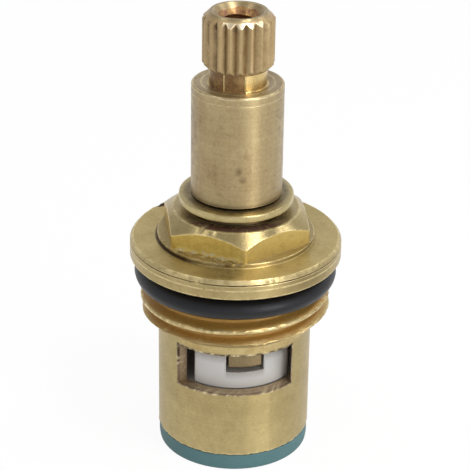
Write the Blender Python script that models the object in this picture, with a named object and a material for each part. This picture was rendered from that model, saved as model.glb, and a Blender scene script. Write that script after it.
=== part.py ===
"""Ceramic disc tap cartridge, half inch size, quarter turn.

The brass housing hangs in the tap body on its thread and flange. The spindle is pushed up into it
from below and held by a clip above the hexagon. Two lugs under the spindle turn a bow-tie ceramic
disc on a fixed disc with two ports, and a rubber seal presses that stack up against the housing.

Metres, +Z up the spindle, origin in the middle of the seal's lower face. Plan angles are measured
in degrees from the front, which is -Y, and grow anticlockwise as seen from above.
"""

import math

import bmesh
import bpy

MM = 0.001

# Clearances
SEAT_GAP = 0.3 * MM
FIT_GAP = 0.1 * MM
EDGE_BREAK = 0.2 * MM

# Turning of the spindle
QUARTER_TURN = 90.0
REST_TURN = 10.5
STOP_CLEARANCE = 0.5

# Widths that build up from the stem to the outside of the barrel
STEM_RADIUS = 4.95 * MM
SHOULDER_WIDTH = 2.1 * MM
BARREL_WALL = 1.35 * MM

# Valve seal and its support ring
SEAL_LIP_INSET = 0.15 * MM
SEAL_LIP_HEIGHT = 1.73 * MM
SEAL_WALL = 1.55 * MM
SEAL_ROUND = 0.15 * MM
REBATE_WIDTH = 0.5 * MM
REBATE_DEPTH = 1.1 * MM
SUPPORT_WALL = 0.5 * MM
SUPPORT_RECESS = 1.2 * MM

# Barrel of the housing
BARREL_HEIGHT = 13.55 * MM
WINDOW_SILL = 7.64 * MM
WINDOW_HEIGHT = 4.86 * MM
WINDOW_HALF_ANGLE = 46.5

# Ceramic discs
DISC_CLEARANCE = 0.15 * MM
FIXED_DISC_HEIGHT = 3.3 * MM
MOVING_DISC_HEIGHT = 4.4 * MM
DISC_CHAMFER = 0.3 * MM
PORT_INNER_RADIUS = 2.1 * MM
PORT_HALF_ANGLE = 35.0
WING_HALF_ANGLE = 50.0
WING_CORNER = 0.5 * MM
WAIST_RADIUS = 1.9 * MM
EAR_WIDTH = 3.0 * MM
EAR_LENGTH = 0.55 * MM

# Spindle foot, lugs and the stop ribs of the housing
FOOT_HUB_STEP = 0.65 * MM
FOOT_CLEARANCE = 0.25 * MM
FOOT_HEIGHT = 2.6 * MM
LUG_WIDTH = 3.6 * MM
LUG_DEPTH = 2.2 * MM
LUG_LENGTH = 2.7 * MM
LUG_CHAMFER = 0.4 * MM
NOTCH_SIDE_GAP = 0.3 * MM
NOTCH_FLOOR_GAP = 0.5 * MM
STOP_RIB_HALF_ANGLE = 6.0

# Thrust washer
WASHER_THICKNESS = 0.5 * MM

# Thread band, body ring groove and flange
THREAD_RADIUS = 20.955 / 2 * MM
THREAD_HEIGHT = 3.65 * MM
THREAD_LEAD_HEIGHT = 1.5 * MM
THREAD_TOP_CHAMFER = 0.4 * MM
RING_GROOVE_HEIGHT = 3.81 * MM
BODY_RING_SECTION = 2.3 * MM
BODY_RING_DROP = 0.74 * MM
FLANGE_RADIUS = 11.6 * MM
FLANGE_HEIGHT = 2.18 * MM
FLANGE_CHAMFER = 0.25 * MM
FLANGE_SEAT_WIDTH = 0.25 * MM
FLANGE_RECESS = 0.1 * MM

# Hexagon
HEX_ACROSS_FLATS = 15.0 * MM
HEX_TURN = 7.0
COLLAR_RADIUS = 8.6 * MM
COLLAR_HEIGHT = 0.51 * MM
HEX_HEIGHT = 2.89 * MM
HEX_CONE_HEIGHT = 1.27 * MM
HEX_TOP_RADIUS = 6.9 * MM

# Gland of the spindle with its two rings
GLAND_LAND = 3.35 * MM
SPINDLE_RING_SECTION = 1.5 * MM
SPINDLE_RING_PITCH = 3.6 * MM
RING_END_PLAY = 0.2 * MM

# Retaining clip
CLIP_RADIUS = 6.23 * MM
CLIP_INNER_RADIUS = 4.55 * MM
CLIP_THICKNESS = 0.87 * MM
CLIP_LIFT = 0.87 * MM
CLIP_GROOVE_DEPTH = 0.65 * MM
CLIP_MOUTH_ANGLE = 26.0

# Stem, neck and splined end
STEM_HEIGHT = 14.38 * MM
STEM_CHAMFER = 0.3 * MM
NECK_RADIUS = 3.1 * MM
NECK_HEIGHT = 1.82 * MM
NECK_RELIEF = 0.1 * MM
SPLINE_RADIUS = 3.82 * MM
SPLINE_HEIGHT = 6.1 * MM
SPLINE_LEAD = 0.5 * MM
SPLINE_CHAMFER = 0.8 * MM
SPLINE_TEETH = 20
TOOTH_DEPTH = 0.45 * MM
TOOTH_CREST_SHARE = 0.2
TOOTH_PHASE = 11.0
SCREW_HOLE_RADIUS = 1.65 * MM
SCREW_HOLE_DEPTH = 12.0 * MM
SCREW_HOLE_POINT = 0.9 * MM
COUNTERSINK_RADIUS = 2.7 * MM

# Facets of the round pieces
TURNED_STEPS = 48
RING_SECTION_STEPS = 10
ARC_STEP = 7.5
SMOOTH_ANGLE = 30.0

# Radii that follow
GLAND_RADIUS = STEM_RADIUS + FIT_GAP
CHAMBER_RADIUS = GLAND_RADIUS + SHOULDER_WIDTH
BARREL_RADIUS = CHAMBER_RADIUS + BARREL_WALL
DISC_RADIUS = CHAMBER_RADIUS - DISC_CLEARANCE
FOOT_HUB_RADIUS = STEM_RADIUS + FOOT_HUB_STEP
FOOT_RADIUS = CHAMBER_RADIUS - FOOT_CLEARANCE
LUG_INNER_RADIUS = FOOT_RADIUS - LUG_LENGTH
SEAL_LIP_RADIUS = BARREL_RADIUS - SEAL_LIP_INSET
SEAL_SLEEVE_RADIUS = CHAMBER_RADIUS - FIT_GAP
SEAL_BORE_RADIUS = SEAL_SLEEVE_RADIUS - SEAL_WALL
SUPPORT_BORE_RADIUS = SEAL_BORE_RADIUS - FIT_GAP - SUPPORT_WALL
PORT_OUTER_RADIUS = SUPPORT_BORE_RADIUS
HEX_APOTHEM = HEX_ACROSS_FLATS / 2
BODY_RING_RADIUS = BARREL_RADIUS + SEAT_GAP + BODY_RING_SECTION / 2
SPINDLE_RING_FLOOR = GLAND_RADIUS - 2 * FIT_GAP - SPINDLE_RING_SECTION
SPINDLE_RING_RADIUS = GLAND_RADIUS - FIT_GAP - SPINDLE_RING_SECTION / 2

# Heights that follow, from the seal up through the disc stack
BARREL_FOOT = SEAL_LIP_HEIGHT + SEAT_GAP
WINDOW_FOOT = BARREL_FOOT + WINDOW_SILL
WINDOW_TOP = WINDOW_FOOT + WINDOW_HEIGHT
MOVING_DISC_FOOT = WINDOW_FOOT
MOVING_DISC_TOP = MOVING_DISC_FOOT + MOVING_DISC_HEIGHT
FIXED_DISC_TOP = MOVING_DISC_FOOT - SEAT_GAP
FIXED_DISC_FOOT = FIXED_DISC_TOP - FIXED_DISC_HEIGHT
SEAL_TOP = FIXED_DISC_FOOT - SEAT_GAP
FOOT_BOTTOM = MOVING_DISC_TOP + SEAT_GAP
FOOT_TOP = FOOT_BOTTOM + FOOT_HEIGHT
WASHER_BOTTOM = FOOT_TOP + SEAT_GAP
SHOULDER = WASHER_BOTTOM + WASHER_THICKNESS + SEAT_GAP
LUG_BOTTOM = FOOT_BOTTOM - LUG_DEPTH
NOTCH_FLOOR = LUG_BOTTOM - NOTCH_FLOOR_GAP

# Heights that follow, up the outside of the housing and the spindle
THREAD_FOOT = BARREL_FOOT + BARREL_HEIGHT
THREAD_TOP = THREAD_FOOT + THREAD_HEIGHT
FLANGE_FOOT = THREAD_TOP + RING_GROOVE_HEIGHT
FLANGE_TOP = FLANGE_FOOT + FLANGE_HEIGHT
HEX_FOOT = FLANGE_TOP + COLLAR_HEIGHT
HOUSING_TOP = HEX_FOOT + HEX_HEIGHT
CLIP_FOOT = HOUSING_TOP + CLIP_LIFT
STEM_TOP = HOUSING_TOP + STEM_HEIGHT
SPLINE_FOOT = STEM_TOP + NECK_HEIGHT
SPINDLE_TOP = SPLINE_FOOT + SPLINE_HEIGHT
UPPER_RING_GROOVE_TOP = HOUSING_TOP - GLAND_LAND
BODY_RING_LEVEL = FLANGE_FOOT - BODY_RING_DROP - BODY_RING_SECTION / 2

# The foot's wings leave room between the two stop ribs for exactly a quarter turn
FOOT_WING_HALF_ANGLE = 90.0 - QUARTER_TURN / 2 - STOP_RIB_HALF_ANGLE - STOP_CLEARANCE
STOP_RIB_ANGLE = 180.0 - FOOT_WING_HALF_ANGLE - STOP_RIB_HALF_ANGLE - STOP_CLEARANCE


def clear_scene():
    for item in list(bpy.data.objects):
        bpy.data.objects.remove(item, do_unlink=True)


def linear(channel):
    return channel / 12.92 if channel <= 0.04045 else ((channel + 0.055) / 1.055) ** 2.4


def material(name, hex_colour, metallic, roughness):
    """Principled material with an sRGB hex colour."""
    made = bpy.data.materials.new(name)
    made.use_nodes = True
    shader = made.node_tree.nodes["Principled BSDF"]
    channels = [linear(int(hex_colour[i:i + 2], 16) / 255) for i in (1, 3, 5)]
    shader.inputs["Base Color"].default_value = (*channels, 1.0)
    shader.inputs["Metallic"].default_value = metallic
    shader.inputs["Roughness"].default_value = roughness
    made.diffuse_color = (*channels, 1.0)
    return made


def polar(radius, angle):
    """Plan point at an angle from the front."""
    turn = math.radians(angle)
    return radius * math.sin(turn), -radius * math.cos(turn)


def arc(radius, start, end):
    """Plan points along an arc, both ends included."""
    steps = max(1, math.ceil(abs(end - start) / ARC_STEP))
    return [polar(radius, start + (end - start) * i / steps) for i in range(steps + 1)]


def sector(inner, outer, start, end):
    """Plan outline of a part of a ring."""
    return arc(outer, start, end) + arc(inner, end, start)


def bow_tie(waist, wing, half_angle):
    """Plan outline of two opposite wings on a round waist, facing front and back."""
    outline = []
    for facing in (0.0, 180.0):
        outline += arc(wing, facing - half_angle, facing + half_angle)
        outline += arc(waist, facing + half_angle, facing + 180.0 - half_angle)
    return outline


def bar_end(inner, outer, width, facing):
    """Plan outline of a bar that runs out to a round rim."""
    reach = math.degrees(math.asin(width / 2 / outer))
    rim = arc(outer, facing - reach, facing + reach)
    start = math.hypot(inner, width / 2)
    spread = math.degrees(math.atan2(width / 2, inner))
    return rim + [polar(start, facing + spread), polar(start, facing - spread)]


def finish(name, mesh_data, look=None, parent=None):
    """Make a mesh into an object; without a look it is a hidden shape for a Boolean."""
    bmesh.ops.recalc_face_normals(mesh_data, faces=mesh_data.faces)
    mesh = bpy.data.meshes.new(name)
    mesh_data.to_mesh(mesh)
    mesh_data.free()
    made = bpy.data.objects.new(name, mesh)
    bpy.context.scene.collection.objects.link(made)
    made.parent = parent
    if look:
        mesh.materials.append(look)
        mesh.shade_smooth()
        mesh.set_sharp_from_angle(angle=math.radians(SMOOTH_ANGLE))
    else:
        made.hide_render = True
        made.display_type = 'WIRE'
    return made


def turned(name, profile, look=None, parent=None):
    """Turn (radius, height) points about Z. The profile is a loop, or starts and ends on the axis."""
    data = bmesh.new()
    points = [data.verts.new((radius, 0.0, height)) for radius, height in profile]
    edges = [data.edges.new(pair) for pair in zip(points, points[1:])]
    if profile[0][0] > 0.0:
        edges.append(data.edges.new((points[-1], points[0])))
    bmesh.ops.spin(data, geom=points + edges, cent=(0, 0, 0), axis=(0, 0, 1), angle=2 * math.pi,
                   steps=TURNED_STEPS, use_merge=True)
    bmesh.ops.remove_doubles(data, verts=data.verts, dist=1e-7)
    return finish(name, data, look, parent)


def extruded(name, outlines, low, high, look=None, parent=None, lower_chamfer=0.0):
    """Raise one or more plan outlines from one height to another."""
    data = bmesh.new()
    for outline in outlines:
        base = data.faces.new([data.verts.new((x, y, low)) for x, y in outline])
        raised = bmesh.ops.extrude_face_region(data, geom=[base])["geom"]
        top = [item for item in raised if isinstance(item, bmesh.types.BMVert)]
        bmesh.ops.translate(data, verts=top, vec=(0, 0, high - low))
    if lower_chamfer:
        rim = [e for e in data.edges if all(abs(v.co.z - low) < 1e-7 for v in e.verts)]
        bmesh.ops.bevel(data, geom=rim, offset=lower_chamfer, segments=1, affect='EDGES')
    return finish(name, data, look, parent)


def combine(target, tool, operation):
    step = target.modifiers.new(tool.name, 'BOOLEAN')
    step.operation = operation
    step.object = tool


def round_edges(target, width, segments=1):
    """Break the edges that are sharper than the facets of the round faces."""
    step = target.modifiers.new("broken_edges", 'BEVEL')
    step.limit_method = 'ANGLE'
    step.angle_limit = math.radians(40.0)
    step.width = width
    step.segments = segments


def rubber_ring(name, radius, section, level, look, parent=None):
    """Ring with a round section."""
    turns = [2 * math.pi * i / RING_SECTION_STEPS for i in range(RING_SECTION_STEPS)]
    profile = [(radius + section / 2 * math.cos(t), level + section / 2 * math.sin(t)) for t in turns]
    return turned(name, profile, look, parent)


def housing(look):
    """Brass body: barrel with two windows, thread band, ring groove, flange, hexagon and gland."""
    seat_inner = FLANGE_RADIUS - EDGE_BREAK - FLANGE_SEAT_WIDTH
    body = turned("housing", [
        (CHAMBER_RADIUS + EDGE_BREAK, BARREL_FOOT),
        (BARREL_RADIUS - EDGE_BREAK, BARREL_FOOT),
        (BARREL_RADIUS, BARREL_FOOT + EDGE_BREAK),
        (BARREL_RADIUS, THREAD_FOOT),
        (THREAD_RADIUS, THREAD_FOOT + THREAD_LEAD_HEIGHT),
        (THREAD_RADIUS, THREAD_TOP - THREAD_TOP_CHAMFER),
        (THREAD_RADIUS - THREAD_TOP_CHAMFER, THREAD_TOP),
        (BARREL_RADIUS, THREAD_TOP),
        (BARREL_RADIUS, FLANGE_FOOT + FLANGE_RECESS),
        (seat_inner, FLANGE_FOOT + FLANGE_RECESS),
        (seat_inner, FLANGE_FOOT),
        (FLANGE_RADIUS - EDGE_BREAK, FLANGE_FOOT),
        (FLANGE_RADIUS, FLANGE_FOOT + EDGE_BREAK),
        (FLANGE_RADIUS, FLANGE_TOP - FLANGE_CHAMFER),
        (FLANGE_RADIUS - FLANGE_CHAMFER, FLANGE_TOP),
        (COLLAR_RADIUS, FLANGE_TOP),
        (COLLAR_RADIUS, HOUSING_TOP - HEX_CONE_HEIGHT),
        (HEX_TOP_RADIUS, HOUSING_TOP),
        (GLAND_RADIUS + EDGE_BREAK, HOUSING_TOP),
        (GLAND_RADIUS, HOUSING_TOP - EDGE_BREAK),
        (GLAND_RADIUS, SHOULDER),
        (CHAMBER_RADIUS, SHOULDER),
        (CHAMBER_RADIUS, BARREL_FOOT + EDGE_BREAK),
    ], look)

    # The two stop ribs hang from the shoulder and stand out of the chamber wall
    rib_bottom = FOOT_BOTTOM + FIT_GAP
    rib_inner = FOOT_HUB_RADIUS + SEAT_GAP
    ribs = extruded("stop_ribs", [
        sector(rib_inner, CHAMBER_RADIUS + BARREL_WALL / 2,
               facing - STOP_RIB_HALF_ANGLE, facing + STOP_RIB_HALF_ANGLE)
        for facing in (STOP_RIB_ANGLE, STOP_RIB_ANGLE + 180.0)
    ], rib_bottom, SHOULDER + BARREL_WALL / 2)
    combine(body, ribs, 'UNION')

    windows = extruded("window_cutter", [
        sector(DISC_RADIUS, BARREL_RADIUS + BARREL_WALL,
               facing - WINDOW_HALF_ANGLE, facing + WINDOW_HALF_ANGLE)
        for facing in (0.0, 180.0)
    ], WINDOW_FOOT, WINDOW_TOP)
    combine(body, windows, 'DIFFERENCE')

    slots = extruded("ear_slot_cutter", [
        bar_end(DISC_RADIUS - BARREL_WALL, DISC_RADIUS + EAR_LENGTH + FIT_GAP,
                EAR_WIDTH + 2 * FIT_GAP, facing)
        for facing in (90.0, 270.0)
    ], BARREL_FOOT - SEAT_GAP, FIXED_DISC_TOP + FIT_GAP)
    combine(body, slots, 'DIFFERENCE')

    # A six sided sleeve mills the flats and leaves the cone above them
    corner = HEX_APOTHEM / math.cos(math.radians(30.0))
    sleeve_growth = 2 * COLLAR_RADIUS / corner
    data = bmesh.new()
    rings = []
    for growth in (1.0, sleeve_growth):
        for level in (HEX_FOOT, HOUSING_TOP + COLLAR_HEIGHT):
            points = [polar(corner * growth, HEX_TURN + 60.0 * side) for side in range(6)]
            rings.append([data.verts.new((x, y, level)) for x, y in points])
    inner_low, inner_high, outer_low, outer_high = rings
    for low, high in ((inner_low, inner_high), (outer_low, outer_high),
                      (inner_low, outer_low), (inner_high, outer_high)):
        for side in range(6):
            after = (side + 1) % 6
            data.faces.new((low[side], low[after], high[after], high[side]))
    combine(body, finish("hexagon_cutter", data), 'DIFFERENCE')
    return body


def body_ring(look):
    """Rubber ring round the housing below the flange."""
    return rubber_ring("body_ring", BODY_RING_RADIUS, BODY_RING_SECTION, BODY_RING_LEVEL, look)


def thrust_washer(look):
    """Low friction washer between the spindle's foot and the shoulder, notched round the ribs."""
    outer = CHAMBER_RADIUS - FIT_GAP
    notch = FOOT_HUB_RADIUS + FIT_GAP
    half = STOP_RIB_HALF_ANGLE + STOP_CLEARANCE * 2
    washer = turned("thrust_washer", [
        (outer, WASHER_BOTTOM),
        (outer, WASHER_BOTTOM + WASHER_THICKNESS),
        (GLAND_RADIUS, WASHER_BOTTOM + WASHER_THICKNESS),
        (GLAND_RADIUS, WASHER_BOTTOM),
    ], look)
    notches = extruded("washer_notch_cutter", [
        sector(notch, outer + BARREL_WALL, facing - half, facing + half)
        for facing in (STOP_RIB_ANGLE, STOP_RIB_ANGLE + 180.0)
    ], WASHER_BOTTOM - SEAT_GAP, WASHER_BOTTOM + WASHER_THICKNESS + SEAT_GAP)
    combine(washer, notches, 'DIFFERENCE')
    return washer


def fixed_disc(look):
    """Lower ceramic disc: two ports, and two ears that keep it from turning in the barrel."""
    disc = turned("fixed_disc", [
        (0.0, FIXED_DISC_FOOT),
        (DISC_RADIUS - DISC_CHAMFER, FIXED_DISC_FOOT),
        (DISC_RADIUS, FIXED_DISC_FOOT + DISC_CHAMFER),
        (DISC_RADIUS, FIXED_DISC_TOP),
        (0.0, FIXED_DISC_TOP),
    ], look)
    ears = extruded("ear_shape", [
        bar_end(DISC_RADIUS - BARREL_WALL, DISC_RADIUS + EAR_LENGTH, EAR_WIDTH, facing)
        for facing in (90.0, 270.0)
    ], FIXED_DISC_FOOT + DISC_CHAMFER, FIXED_DISC_TOP - DISC_CHAMFER)
    combine(disc, ears, 'UNION')
    ports = extruded("port_cutter", [
        sector(PORT_INNER_RADIUS, PORT_OUTER_RADIUS, facing - PORT_HALF_ANGLE, facing + PORT_HALF_ANGLE)
        for facing in (0.0, 180.0)
    ], FIXED_DISC_FOOT - SEAT_GAP, FIXED_DISC_TOP + SEAT_GAP)
    combine(disc, ports, 'DIFFERENCE')
    return disc


def valve_seal(look):
    """Green rubber seal: a lip under the barrel's rim and a sleeve up to the fixed disc."""
    rebate_radius = SEAL_BORE_RADIUS + REBATE_WIDTH
    return turned("valve_seal", [
        (SEAL_BORE_RADIUS, SEAL_ROUND),
        (SEAL_BORE_RADIUS + SEAL_ROUND, 0.0),
        (SEAL_LIP_RADIUS - SEAL_ROUND, 0.0),
        (SEAL_LIP_RADIUS, SEAL_ROUND),
        (SEAL_LIP_RADIUS, SEAL_LIP_HEIGHT),
        (SEAL_SLEEVE_RADIUS, SEAL_LIP_HEIGHT),
        (SEAL_SLEEVE_RADIUS, SEAL_TOP),
        (rebate_radius, SEAL_TOP),
        (rebate_radius, SEAL_TOP - REBATE_DEPTH),
        (SEAL_BORE_RADIUS, SEAL_TOP - REBATE_DEPTH),
    ], look)


def seal_support(look):
    """Flanged ring that keeps the seal's bore open."""
    flange_radius = SEAL_BORE_RADIUS + REBATE_WIDTH - FIT_GAP
    sleeve_radius = SEAL_BORE_RADIUS - FIT_GAP
    flange_foot = SEAL_TOP - REBATE_DEPTH + SEAT_GAP
    return turned("seal_support", [
        (SUPPORT_BORE_RADIUS, SUPPORT_RECESS),
        (sleeve_radius, SUPPORT_RECESS),
        (sleeve_radius, flange_foot),
        (flange_radius, flange_foot),
        (flange_radius, SEAL_TOP),
        (SUPPORT_BORE_RADIUS, SEAL_TOP),
    ], look)


def moving_disc(look, axis):
    """Upper ceramic disc: two wings that cover the ports, each notched for a lug."""
    outline = bow_tie(WAIST_RADIUS, DISC_RADIUS, WING_HALF_ANGLE)
    disc = extruded("moving_disc", [outline], MOVING_DISC_FOOT, MOVING_DISC_TOP, look, axis)
    round_edges(disc, WING_CORNER, 2)
    notches = extruded("notch_cutter", [
        bar_end(LUG_INNER_RADIUS - SEAT_GAP, DISC_RADIUS + DISC_CLEARANCE + BARREL_WALL,
                LUG_WIDTH + 2 * NOTCH_SIDE_GAP, facing)
        for facing in (0.0, 180.0)
    ], NOTCH_FLOOR, MOVING_DISC_TOP + SEAT_GAP, parent=axis)
    combine(disc, notches, 'DIFFERENCE')
    return disc


def ring_groove(top):
    """Profile of one spindle ring groove, from its lower wall up."""
    foot = top - SPINDLE_RING_SECTION - 2 * RING_END_PLAY
    return [(STEM_RADIUS, foot), (SPINDLE_RING_FLOOR, foot), (SPINDLE_RING_FLOOR, top), (STEM_RADIUS, top)]


def spindle(look, axis):
    """Brass spindle: lugs, stop wings, gland, clip groove, stem, neck and splined end."""
    clip_floor = STEM_RADIUS - CLIP_GROOVE_DEPTH
    profile = [(0.0, FOOT_BOTTOM), (FOOT_HUB_RADIUS, FOOT_BOTTOM), (FOOT_HUB_RADIUS, FOOT_TOP)]
    profile += [(STEM_RADIUS, FOOT_TOP)]
    profile += ring_groove(UPPER_RING_GROOVE_TOP - SPINDLE_RING_PITCH)
    profile += ring_groove(UPPER_RING_GROOVE_TOP)
    profile += [
        (STEM_RADIUS, CLIP_FOOT - FIT_GAP),
        (clip_floor, CLIP_FOOT - FIT_GAP),
        (clip_floor, CLIP_FOOT + CLIP_THICKNESS + FIT_GAP),
        (STEM_RADIUS, CLIP_FOOT + CLIP_THICKNESS + FIT_GAP),
        (STEM_RADIUS, STEM_TOP - STEM_CHAMFER),
        (STEM_RADIUS - STEM_CHAMFER, STEM_TOP),
        (SPLINE_RADIUS + FIT_GAP, STEM_TOP),
        (NECK_RADIUS, STEM_TOP - NECK_RELIEF),
        (NECK_RADIUS, SPLINE_FOOT),
        (SPLINE_RADIUS - SPLINE_LEAD, SPLINE_FOOT),
        (SPLINE_RADIUS, SPLINE_FOOT + SPLINE_LEAD),
        (SPLINE_RADIUS, SPINDLE_TOP - SPLINE_CHAMFER),
        (SPLINE_RADIUS - SPLINE_CHAMFER, SPINDLE_TOP),
        (COUNTERSINK_RADIUS, SPINDLE_TOP),
        (SCREW_HOLE_RADIUS, SPINDLE_TOP - (COUNTERSINK_RADIUS - SCREW_HOLE_RADIUS)),
        (SCREW_HOLE_RADIUS, SPINDLE_TOP - SCREW_HOLE_DEPTH + SCREW_HOLE_POINT),
        (0.0, SPINDLE_TOP - SCREW_HOLE_DEPTH),
    ]
    shaft = turned("spindle", profile, look, axis)

    wings = extruded("foot_wing_shape", [
        sector(FOOT_HUB_RADIUS - BARREL_WALL, FOOT_RADIUS,
               facing - FOOT_WING_HALF_ANGLE, facing + FOOT_WING_HALF_ANGLE)
        for facing in (0.0, 180.0)
    ], FOOT_BOTTOM, FOOT_TOP, parent=axis)
    combine(shaft, wings, 'UNION')

    lugs = extruded("lug_shape", [
        bar_end(LUG_INNER_RADIUS, FOOT_RADIUS, LUG_WIDTH, facing) for facing in (0.0, 180.0)
    ], LUG_BOTTOM, FOOT_BOTTOM + FOOT_HEIGHT / 2, parent=axis, lower_chamfer=LUG_CHAMFER)
    combine(shaft, lugs, 'UNION')

    # One V groove between each pair of teeth, run out past both ends of the spline
    pitch = 360.0 / SPLINE_TEETH
    root = SPLINE_RADIUS - TOOTH_DEPTH
    mouth = pitch * (1.0 - TOOTH_CREST_SHARE) / 2
    flare = SPLINE_RADIUS + TOOTH_DEPTH
    grooves = []
    for tooth in range(SPLINE_TEETH):
        middle = TOOTH_PHASE + pitch * (tooth + 0.5)
        spread = mouth * (flare - root) / (SPLINE_RADIUS - root)
        grooves.append([polar(root, middle), polar(flare, middle + spread), polar(flare, middle - spread)])
    teeth = extruded("tooth_groove_cutter", grooves, SPLINE_FOOT - NECK_HEIGHT / 2,
                     SPINDLE_TOP + SEAT_GAP, parent=axis)
    combine(shaft, teeth, 'DIFFERENCE')
    return shaft


def spindle_rings(look, axis):
    """Two rubber rings in the gland's grooves."""
    middle = UPPER_RING_GROOVE_TOP - RING_END_PLAY - SPINDLE_RING_SECTION / 2
    for name, drop in (("spindle_ring_lower", SPINDLE_RING_PITCH), ("spindle_ring_upper", 0.0)):
        rubber_ring(name, SPINDLE_RING_RADIUS, SPINDLE_RING_SECTION, middle - drop, look, axis)


def retaining_clip(look, axis):
    """Open brass ring in the stem's groove; its mouth faces the back."""
    start = -180.0 + CLIP_MOUTH_ANGLE / 2
    outline = sector(CLIP_INNER_RADIUS, CLIP_RADIUS, start, -start)
    clip = extruded("retaining_clip", [outline], CLIP_FOOT, CLIP_FOOT + CLIP_THICKNESS, look, axis)
    round_edges(clip, EDGE_BREAK)
    return clip


def spindle_axis():
    """Axis on which the spindle stands a little open, as it rests."""
    axis = bpy.data.objects.new("spindle_axis", None)
    axis.rotation_euler = (0.0, 0.0, math.radians(REST_TURN))
    axis.empty_display_size = BARREL_RADIUS
    bpy.context.scene.collection.objects.link(axis)
    return axis


def main():
    clear_scene()
    turned_brass = material("turned_brass", "#B5A060", 1.0, 0.32)
    stem_brass = material("stem_brass", "#B59E6C", 1.0, 0.30)
    clip_brass = material("clip_brass", "#AFA05E", 1.0, 0.28)
    black_rubber = material("black_rubber", "#2E3134", 0.0, 0.45)
    green_rubber = material("green_rubber", "#3F7E70", 0.0, 0.50)
    white_ceramic = material("white_ceramic", "#D9D8D8", 0.0, 0.30)
    washer_plastic = material("washer_plastic", "#E4E0D2", 0.0, 0.45)
    support_steel = material("support_steel", "#B9BBBD", 1.0, 0.30)

    housing(turned_brass)
    body_ring(black_rubber)
    thrust_washer(washer_plastic)
    fixed_disc(white_ceramic)
    valve_seal(green_rubber)
    seal_support(support_steel)

    axis = spindle_axis()
    moving_disc(white_ceramic, axis)
    spindle(stem_brass, axis)
    spindle_rings(black_rubber, axis)
    retaining_clip(clip_brass, axis)


main()
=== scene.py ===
"""Ceramic disc tap cartridge: the finished pieces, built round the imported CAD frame.

Metres, +Z up the spindle. Plan angles are degrees from the front, -Y, and grow anticlockwise from above.
"""

import math
from functools import partialmethod
from types import SimpleNamespace

import bmesh
import bpy
import numpy as np
from bpy.props import FloatProperty, FloatVectorProperty, IntProperty, PointerProperty
from mathutils import Matrix, Vector, noise


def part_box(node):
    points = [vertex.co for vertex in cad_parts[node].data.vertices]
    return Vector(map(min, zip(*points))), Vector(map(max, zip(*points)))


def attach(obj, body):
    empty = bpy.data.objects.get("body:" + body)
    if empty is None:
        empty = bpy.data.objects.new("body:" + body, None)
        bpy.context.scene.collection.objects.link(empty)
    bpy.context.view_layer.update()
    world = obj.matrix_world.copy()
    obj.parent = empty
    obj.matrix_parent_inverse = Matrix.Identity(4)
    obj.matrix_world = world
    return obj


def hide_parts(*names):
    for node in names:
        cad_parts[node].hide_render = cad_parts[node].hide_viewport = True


bl_info = {
    "name": "Ceramic disc tap cartridge",
    "version": (1, 0, 0),
    "blender": (4, 5, 0),
    "location": "View3D > Sidebar > Cartridge",
    "description": "Builds the finished pieces of a quarter turn tap cartridge round its CAD frame",
    "category": "Object",
}

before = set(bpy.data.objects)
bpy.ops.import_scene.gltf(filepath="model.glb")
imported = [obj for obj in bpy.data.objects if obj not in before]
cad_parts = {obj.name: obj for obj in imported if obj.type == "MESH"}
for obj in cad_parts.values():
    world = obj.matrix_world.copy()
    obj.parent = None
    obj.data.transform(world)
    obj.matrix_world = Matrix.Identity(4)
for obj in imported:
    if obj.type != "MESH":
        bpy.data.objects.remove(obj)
MM = 0.001

HOUSING_LOW, HOUSING_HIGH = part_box("housing")
SPINDLE_LOW, SPINDLE_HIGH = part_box("spindle")
SEAL_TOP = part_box("valve_seal")[1].z
RING_LOW, RING_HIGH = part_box("body_ring")
CLIP_LOW, CLIP_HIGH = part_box("retaining_clip")
DISC_LOW, DISC_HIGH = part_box("moving_disc")
PLATE_LOW, PLATE_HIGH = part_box("fixed_disc")
WASHER_LOW, WASHER_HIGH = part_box("thrust_washer")
SUPPORT_LOW, SUPPORT_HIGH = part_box("seal_support")

# Running clearances, where the spindle stands at rest, and the plan angles of what comes in pairs
SEAT_GAP = 0.3 * MM
FIT_GAP = 0.1 * MM
REST_TURN = 10.5
FRONT_AND_BACK = (0.0, 180.0)
BOTH_SIDES = (90.0, 270.0)
STOP_TURNS = (135.0, 315.0)
REST_TURNS = (REST_TURN, REST_TURN + 180.0)

# Plan angles of a turned piece's columns, and the angle past which an edge is drawn sharp
EVEN_COLUMNS = np.arange(240) * 1.5
SHARP_ANGLE = math.radians(38.0)

# Material slots of the housing after the turned and the threaded one
MILLED, TORN, CHAMFERED, FLANGE_TOP_LIT = range(2, 6)

# Barrel, windows and chamber
BARREL_FOOT = HOUSING_LOW.z
BARREL_RADIUS = 8.5 * MM
CHAMBER_RADIUS = 7.15 * MM
WINDOW_FOOT = BARREL_FOOT + 7.64 * MM
WINDOW_TOP = WINDOW_FOOT + 4.86 * MM
WINDOW_LEFT = -46.5
WINDOW_RIGHT = 48.0
WINDOW_RIGHT_INSIDE = 61.5
SHOULDER = HOUSING_HIGH.z - 10.55 * MM

# Thread band, flange, collar and hexagon
FLANGE_TOP = HOUSING_HIGH.z - 3.4 * MM
FLANGE_FOOT = FLANGE_TOP - 2.18 * MM
FLANGE_RADIUS = HOUSING_HIGH.x
FLANGE_GROOVE = FLANGE_TOP - 0.54 * MM
FLANGE_SEAT_RADIUS = FLANGE_RADIUS - 0.35 * MM
THREAD_TOP = FLANGE_FOOT - 3.81 * MM
THREAD_FOOT = THREAD_TOP - 3.65 * MM
THREAD_LEAD = 1.5 * MM
COLLAR_RADIUS = 8.6 * MM
HEX_FOOT = FLANGE_TOP + 0.51 * MM
HEX_CONE_HEIGHT = 1.27 * MM
HEX_TOP_RADIUS = 6.9 * MM
GLAND_RADIUS = 5.05 * MM
THREAD_RADIUS = 20.955 / 2 * MM
THREAD_PITCH = 1.814 * MM
THREAD_LEVEL = 18.45 * MM

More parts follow.
